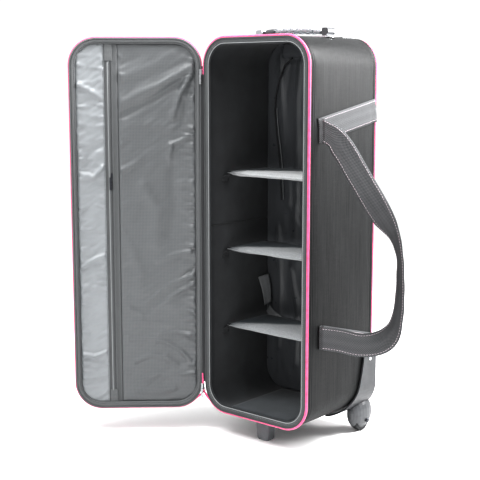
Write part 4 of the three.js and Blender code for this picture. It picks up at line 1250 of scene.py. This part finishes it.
def smooth_route(points, per_span):
    """A Catmull-Rom curve with centripetal knots, and its slope, at even steps between the points."""
    p = np.array(points, float)
    p = np.vstack([2 * p[0] - p[1], p, 2 * p[-1] - p[-2]])
    here, slope = [], []
    for k in range(1, len(p) - 2):
        a, b, c, d = p[k - 1 : k + 3]
        da, db, dc = (np.linalg.norm(v) ** 0.5 for v in (b - a, c - b, d - c))
        m1 = ((b - a) / da - (c - a) / (da + db) + (c - b) / db) * db
        m2 = ((c - b) / db - (d - b) / (db + dc) + (d - c) / dc) * db
        for t in np.arange(per_span + (k == len(p) - 3)) / per_span:
            here.append((2 * t**3 - 3 * t**2 + 1) * b + (t**3 - 2 * t**2 + t) * m1
                        + (3 * t**2 - 2 * t**3) * c + (t**3 - t**2) * m2)
            slope.append((6 * t**2 - 6 * t) * b + (3 * t**2 - 4 * t + 1) * m1
                         + (6 * t - 6 * t**2) * c + (3 * t**2 - 2 * t) * m2)
    return np.array(here), np.array(slope)


def loop_stations(mirror):
    out = np.array((LOOP_OUT[0], LOOP_OUT[1], 0.0))
    up = np.array((0.0, 0.0, 1.0))
    normal = np.cross(up, out)
    here, slope = smooth_route(LOOP_ROUTE, 7)
    stations = []
    for (away, height, twist), (sx, sz, _) in zip(here, slope):
        along = out * sx + up * sz
        along /= np.linalg.norm(along)
        square = np.cross(normal, along)
        crease = up * np.sign(square[2])
        eased = float(smoothstep(away, 0, FOLD_EASE))
        in_plane = crease + (square - crease) * eased
        in_plane /= np.linalg.norm(in_plane)
        turn = math.radians(twist)
        across = in_plane * math.cos(turn) + normal * math.sin(turn)
        through = np.cross(along, across)
        through /= np.linalg.norm(through)
        point = np.array((*LOOP_START, 0.0)) + out * away + up * height
        flip = np.array((mirror, 1.0, 1.0))
        stations.append((point * flip, across * flip, through * flip))
    return stations


def edge_seams(stations, width, lift, faces=(1, -1)):
    """Two stitch lines along each face of a strap."""
    seams = []
    for face in faces:
        for side in (-1, 1):
            stations = [tuple(np.array(v, float) for v in station) for station in stations]
            line = [p + a * side * (width / 2 - SEAM_IN) + t * face * lift for p, a, t in stations]
            seams.append((np.array(line), np.array([t * face for _, _, t in stations])))
    return seams


def band_stations(place, mirror):
    (rear_y, rear_z), (fold_y, fold_z) = BAND_ENDS[place]
    along = np.array((0.0, fold_y - rear_y, fold_z - rear_z))
    along /= np.linalg.norm(along)
    across = np.cross((1.0, 0.0, 0.0), along)
    stations = []
    for t in np.linspace(0, 1, 40):
        y, z = rear_y + t * (fold_y - rear_y), rear_z + t * (fold_z - rear_z)
        skin = HALF_W + float(wall_swell(y, 1.0)) if y < WALL_REAR_Y - 14 else HALF_W + 0.2
        x = max(skin, HALF_W - 0.2) + 0.35 + WEB_T / 2
        stations.append(((mirror * x, y, z), across, np.array((mirror * 1.0, 0.0, 0.0))))
    return stations


def fold_stations(place, mirror):
    """The short bend where a band turns out of its seam and becomes the loop."""
    _, (fold_y, fold_z) = BAND_ENDS[place]
    start = np.array((HALF_W + 1.6, fold_y + 3.0))
    end = np.array(LOOP_START) + 3.0 * np.array(LOOP_OUT)
    first = start + np.array((0.0, -7.0))
    last = end - 7.0 * np.array(LOOP_OUT)
    stations = []
    for t in np.linspace(0, 1, 14):
        weights = ((1 - t) ** 3, 3 * t * (1 - t) ** 2, 3 * t * t * (1 - t), t**3)
        slopes = (-3 * (1 - t) ** 2, 3 * (1 - t) * (1 - 3 * t), 3 * t * (2 - 3 * t), 3 * t * t)
        x, y = sum(w * p for w, p in zip(weights, (start, first, last, end)))
        sx, sy = sum(w * p for w, p in zip(slopes, (start, first, last, end)))
        long = math.hypot(sx, sy)
        through = np.array((mirror * sy / long, -sx / long, 0.0))
        stations.append(((mirror * x, y, fold_z), (0.0, 0.0, 1.0), -through))
    return stations


def webbing():
    for side, mirror in (("right", 1), ("left", -1)):
        loop = strap_object("carry_loop_" + side, loop_stations(mirror), WEB_W, WEB_T + 0.6, LOOKS["webbing"],
                            "loop_" + side, wave=0.35)
        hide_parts("handle_loop_" + side)
        seams = edge_seams(loop_stations(mirror), WEB_W, (WEB_T + 0.6) / 2)
        stitches = thread_object("loop_stitches_" + side, seams, LOOKS["thread"], "loop_" + side)
        for place in BAND_ENDS:
            stations = band_stations(place, mirror)
            band = strap_object(f"band_{side}_{place}", stations, WEB_W, WEB_T, LOOKS["webbing"], "case")
            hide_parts(f"strap_band_{side}_{place}")
            seams = edge_seams(stations, WEB_W, WEB_T / 2, faces=(1,))
            stitches = thread_object(f"band_stitches_{side}_{place}", seams, LOOKS["thread"], "case")
            bend = fold_stations(place, mirror)
            fold = strap_object(f"strap_fold_{side}_{place}", bend, WEB_W, WEB_T, LOOKS["webbing"], None)
            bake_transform(fold)


# ---------------------------------------------------------------- wheels, handle and other hard parts


def both_sides(profile, half):
    """A wheel's whole section from (radius, depth below its face) on one side."""
    near = [(r, deep - half) for r, deep in profile]
    return near + [(r, -x) for r, x in reversed(near)]


def wheels():
    for side in ("right", "left"):
        low, high = cad_mm("wheel_tyre_" + side)
        centre = (low + high) / 2
        half = (high[0] - low[0]) / 2
        r = (high[2] - low[2]) / 2
        profile = both_sides([(18.5, 0.4), (r - 3.2, 0), (r - 1.2, 0.7), (r - 0.25, 2.4), (r, 4.5),
                              (r, half - 1.1), (r - 0.9, half - 0.7)], half)
        tyre = lathe_object("tyre_" + side, profile, centre, LOOKS["rubber"], "wheel_" + side)
        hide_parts("wheel_tyre_" + side)
        low, high = cad_mm("wheel_hub_" + side)
        half = (high[0] - low[0]) / 2
        profile = both_sides([(4.2, 0), (8.4, 0), (9.2, 0.8), (10.8, 3), (16.4, 2.2), (18.2, 1.6)], half)
        hub = lathe_object("hub_" + side, profile, centre, LOOKS["plastic"], "wheel_" + side)
        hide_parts("wheel_hub_" + side)


GRIP_ZONES = (  # (start, end, look, half height, height of the waves)
    (-71, -44, "plastic", 6.4, 0.0),
    (-43.6, 50, "silver_plastic", 6.2, 1.7),
    (50.4, 71, "silver_plastic", 6.0, 0.0),
)
GRIP_HALF_Y = 10.6
WAVE_PITCH = 17.0
GRIP_BOW = 4.0
GRIP_DOWN = 4.6  # the grip's middle, below the top of its CAD box


def carry_grip():
    """Bowed grip with waves along its middle, a darker sleeve at its left and a plain one at its right."""
    low, high = cad_mm("carry_handle_grip")
    middle_y = (low[1] + high[1]) / 2
    middle_z = high[2] - GRIP_DOWN
    for k, (start, end, look, half_z, wave) in enumerate(GRIP_ZONES):
        x = np.linspace(start, end, 90 if wave else 24)
        ends = np.minimum(x - start, end - x)
        girth = np.sqrt(np.clip(smoothstep(ends, -0.8, 4.5 if not wave else 1.0), 0.05, 1))
        beat = wave * np.cos(2 * math.pi * x / WAVE_PITCH)
        t = np.linspace(0, 2 * math.pi, 28, endpoint=False)
        power = 0.62
        cy = np.sign(np.cos(t)) * np.abs(np.cos(t)) ** power
        cz = np.sign(np.sin(t)) * np.abs(np.sin(t)) ** power
        y = middle_y + (GRIP_HALF_Y * girth + beat)[:, None] * cy
        bow = GRIP_BOW * (1 - (x / GRIP_ZONES[-1][1]) ** 2)
        z = middle_z + bow[:, None] + (half_z * girth + beat)[:, None] * cz
        points = spread(x[:, None], y, z)
        piece = grid_object(f"carry_grip_{k}", points, LOOKS[look], "carry_handle", wrap_j=True, caps=True)
    tongue_low = low[2]
    for side in (-1, 1):
        x = np.linspace(66, 86, 16)
        z = middle_z - 1.5 - (middle_z - 1.5 - tongue_low - 1.5) * smoothstep(x, 70, 76)
        stations = [((side * a, middle_y, b), (0.0, 1.0, 0.0), (0.0, 0.0, 1.0)) for a, b in zip(x, z)]
        name = "carry_tongue_" + ("left" if side < 0 else "right")
        tongue = strap_object(name, stations, 14, 3.0, LOOKS["dark_plastic"], "carry_handle")
    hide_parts("carry_handle_grip")


HARD_NODES = {
    "front_foot": ("foot_plastic", 1.2),
    "handle_base_plate": ("plate", 0.8),
    "pull_handle_tray": ("plastic", 0.6),
    "tube_bracket": ("plastic", 1.0),
    "pull_grip": ("plastic", 1.4),
    "release_button": ("silver_plastic", 1.0),
    "tie_strap_buckle": ("dark_plastic", 1.2),
    "pocket_zip_slider": ("dark_metal", 0.8),
    "pocket_zip_pull": ("dark_metal", 0.4),
    "main_zip_slider_top": ("zip_metal", 1.2),
    "main_zip_slider_bottom": ("zip_metal", 1.2),
    "main_zip_pull_top": ("zip_metal", 0.4),
    "main_zip_pull_bottom": ("zip_metal", 0.4),
}
for _side in ("left", "right"):
    HARD_NODES.update({
        "corner_guard_" + _side: ("guard_plastic", 0.8),
        "guard_rivet_" + _side: ("zip_metal", 0.4),
        "wheel_fender_" + _side: ("plastic", 0.8),
        "wheel_axle_" + _side: ("dark_metal", 0.5),
        "handle_cap_" + _side: ("silver_plastic" if _side == "left" else "plastic", 3.5),
        "outer_tube_" + _side: ("tube", 0.3),
        "inner_tube_" + _side: ("tube", 0.3),
    })


def hard_nodes():
    """The CAD's own hard parts get softened edges and a material each."""
    for node, (look, width) in HARD_NODES.items():
        obj = frame["nodes"][node]
        obj.data.materials.clear()
        obj.data.materials.append(LOOKS[look])
        modifier(obj, "BEVEL", width=width * MM, segments=3, limit_method="ANGLE",
                 angle_limit=math.radians(35))
        modifier(obj, "WEIGHTED_NORMAL", keep_sharp=False)
        obj.data.polygons.foreach_set("use_smooth", [True] * len(obj.data.polygons))


# ---------------------------------------------------------------- stage


FLOOR_HALF = 6.0
LIGHTS = (  # (name, place, target, size, watts)
    ("top_light", (0.1, -0.5, 2.3), (0.0, -0.05, 0.5), 1.3, 44.0),
    ("shoulder_light", (0.60, 0.40, 1.22), (0.13, 0.08, 0.74), 0.40, 31.0),
    ("sheen_light", (1.0, 1.25, 0.98), (0.13, 0.08, 0.76), 0.5, 34.0),
    ("lid_light", (-0.70, -0.95, 1.75), (-0.24, -0.13, 0.5), 0.45, 17.0),
    ("inside_light", (0.25, -1.7, 1.3), (0.05, 0.15, 0.5), 0.7, 4.0),
)
CAMERA_PLACE = (1.3149, -1.6073, 0.7343)
CAMERA_TURN = (81.32, 0.0, 40.76)
CAMERA_LENS = 78.1


def stage():
    scene = bpy.context.scene
    floor_mesh = bpy.data.meshes.new("floor")
    corners = [(x * FLOOR_HALF, y * FLOOR_HALF, 0.0) for x, y in ((-1, -1), (1, -1), (1, 1), (-1, 1))]
    floor_mesh.from_pydata(corners, [], [(0, 1, 2, 3)])
    floor = bpy.data.objects.new("floor", floor_mesh)
    scene.collection.objects.link(floor)
    look = Look("pale_floor", "Object")
    cloud = look.noise(2.0)
    pale = look.ramp(cloud, (0.3, 0.93), (0.7, 0.95))
    floor_mesh.materials.append(look.finish(pale, look.range(cloud, 0.3, 0.7, 0.7, 0.8), cloud, 0.01, 0.1))

    world = bpy.data.worlds.new("studio")
    world.use_nodes = True
    scene.world = world
    world.node_tree.nodes["Background"].inputs["Color"].default_value = (1.0, 1.0, 1.0, 1.0)
    world.node_tree.nodes["Background"].inputs["Strength"].default_value = 1.1
    scene.view_settings.view_transform = "Standard"
    scene.view_settings.gamma = 0.80

    for name, place, target, size, power in LIGHTS:
        light = bpy.data.lights.new(name, "AREA")
        light.energy = power
        light.size = size
        obj = bpy.data.objects.new(name, light)
        scene.collection.objects.link(obj)
        obj.location = place
        obj.rotation_euler = (Vector(target) - Vector(place)).to_track_quat("-Z", "Y").to_euler()

    camera = bpy.data.cameras.new("camera")
    camera.lens = CAMERA_LENS
    camera.sensor_width = 36.0
    eye = bpy.data.objects.new("camera", camera)
    scene.collection.objects.link(eye)
    eye.location = CAMERA_PLACE
    eye.rotation_euler = [math.radians(a) for a in CAMERA_TURN]
    scene.camera = eye


stage()
case_fabric()
pipings()
case_tape()
case_lining()
rear_panel()
rear_lining()
floor_pad()
hinge_strip()
for _place, _tilt, _seed in DIVIDERS:
    divider(_place, _tilt, _seed)
tie_strap()
lid_shell()
lid_tape()
lid_lining()
pocket_zip()
webbing()
wheels()
carry_grip()
hard_nodes()
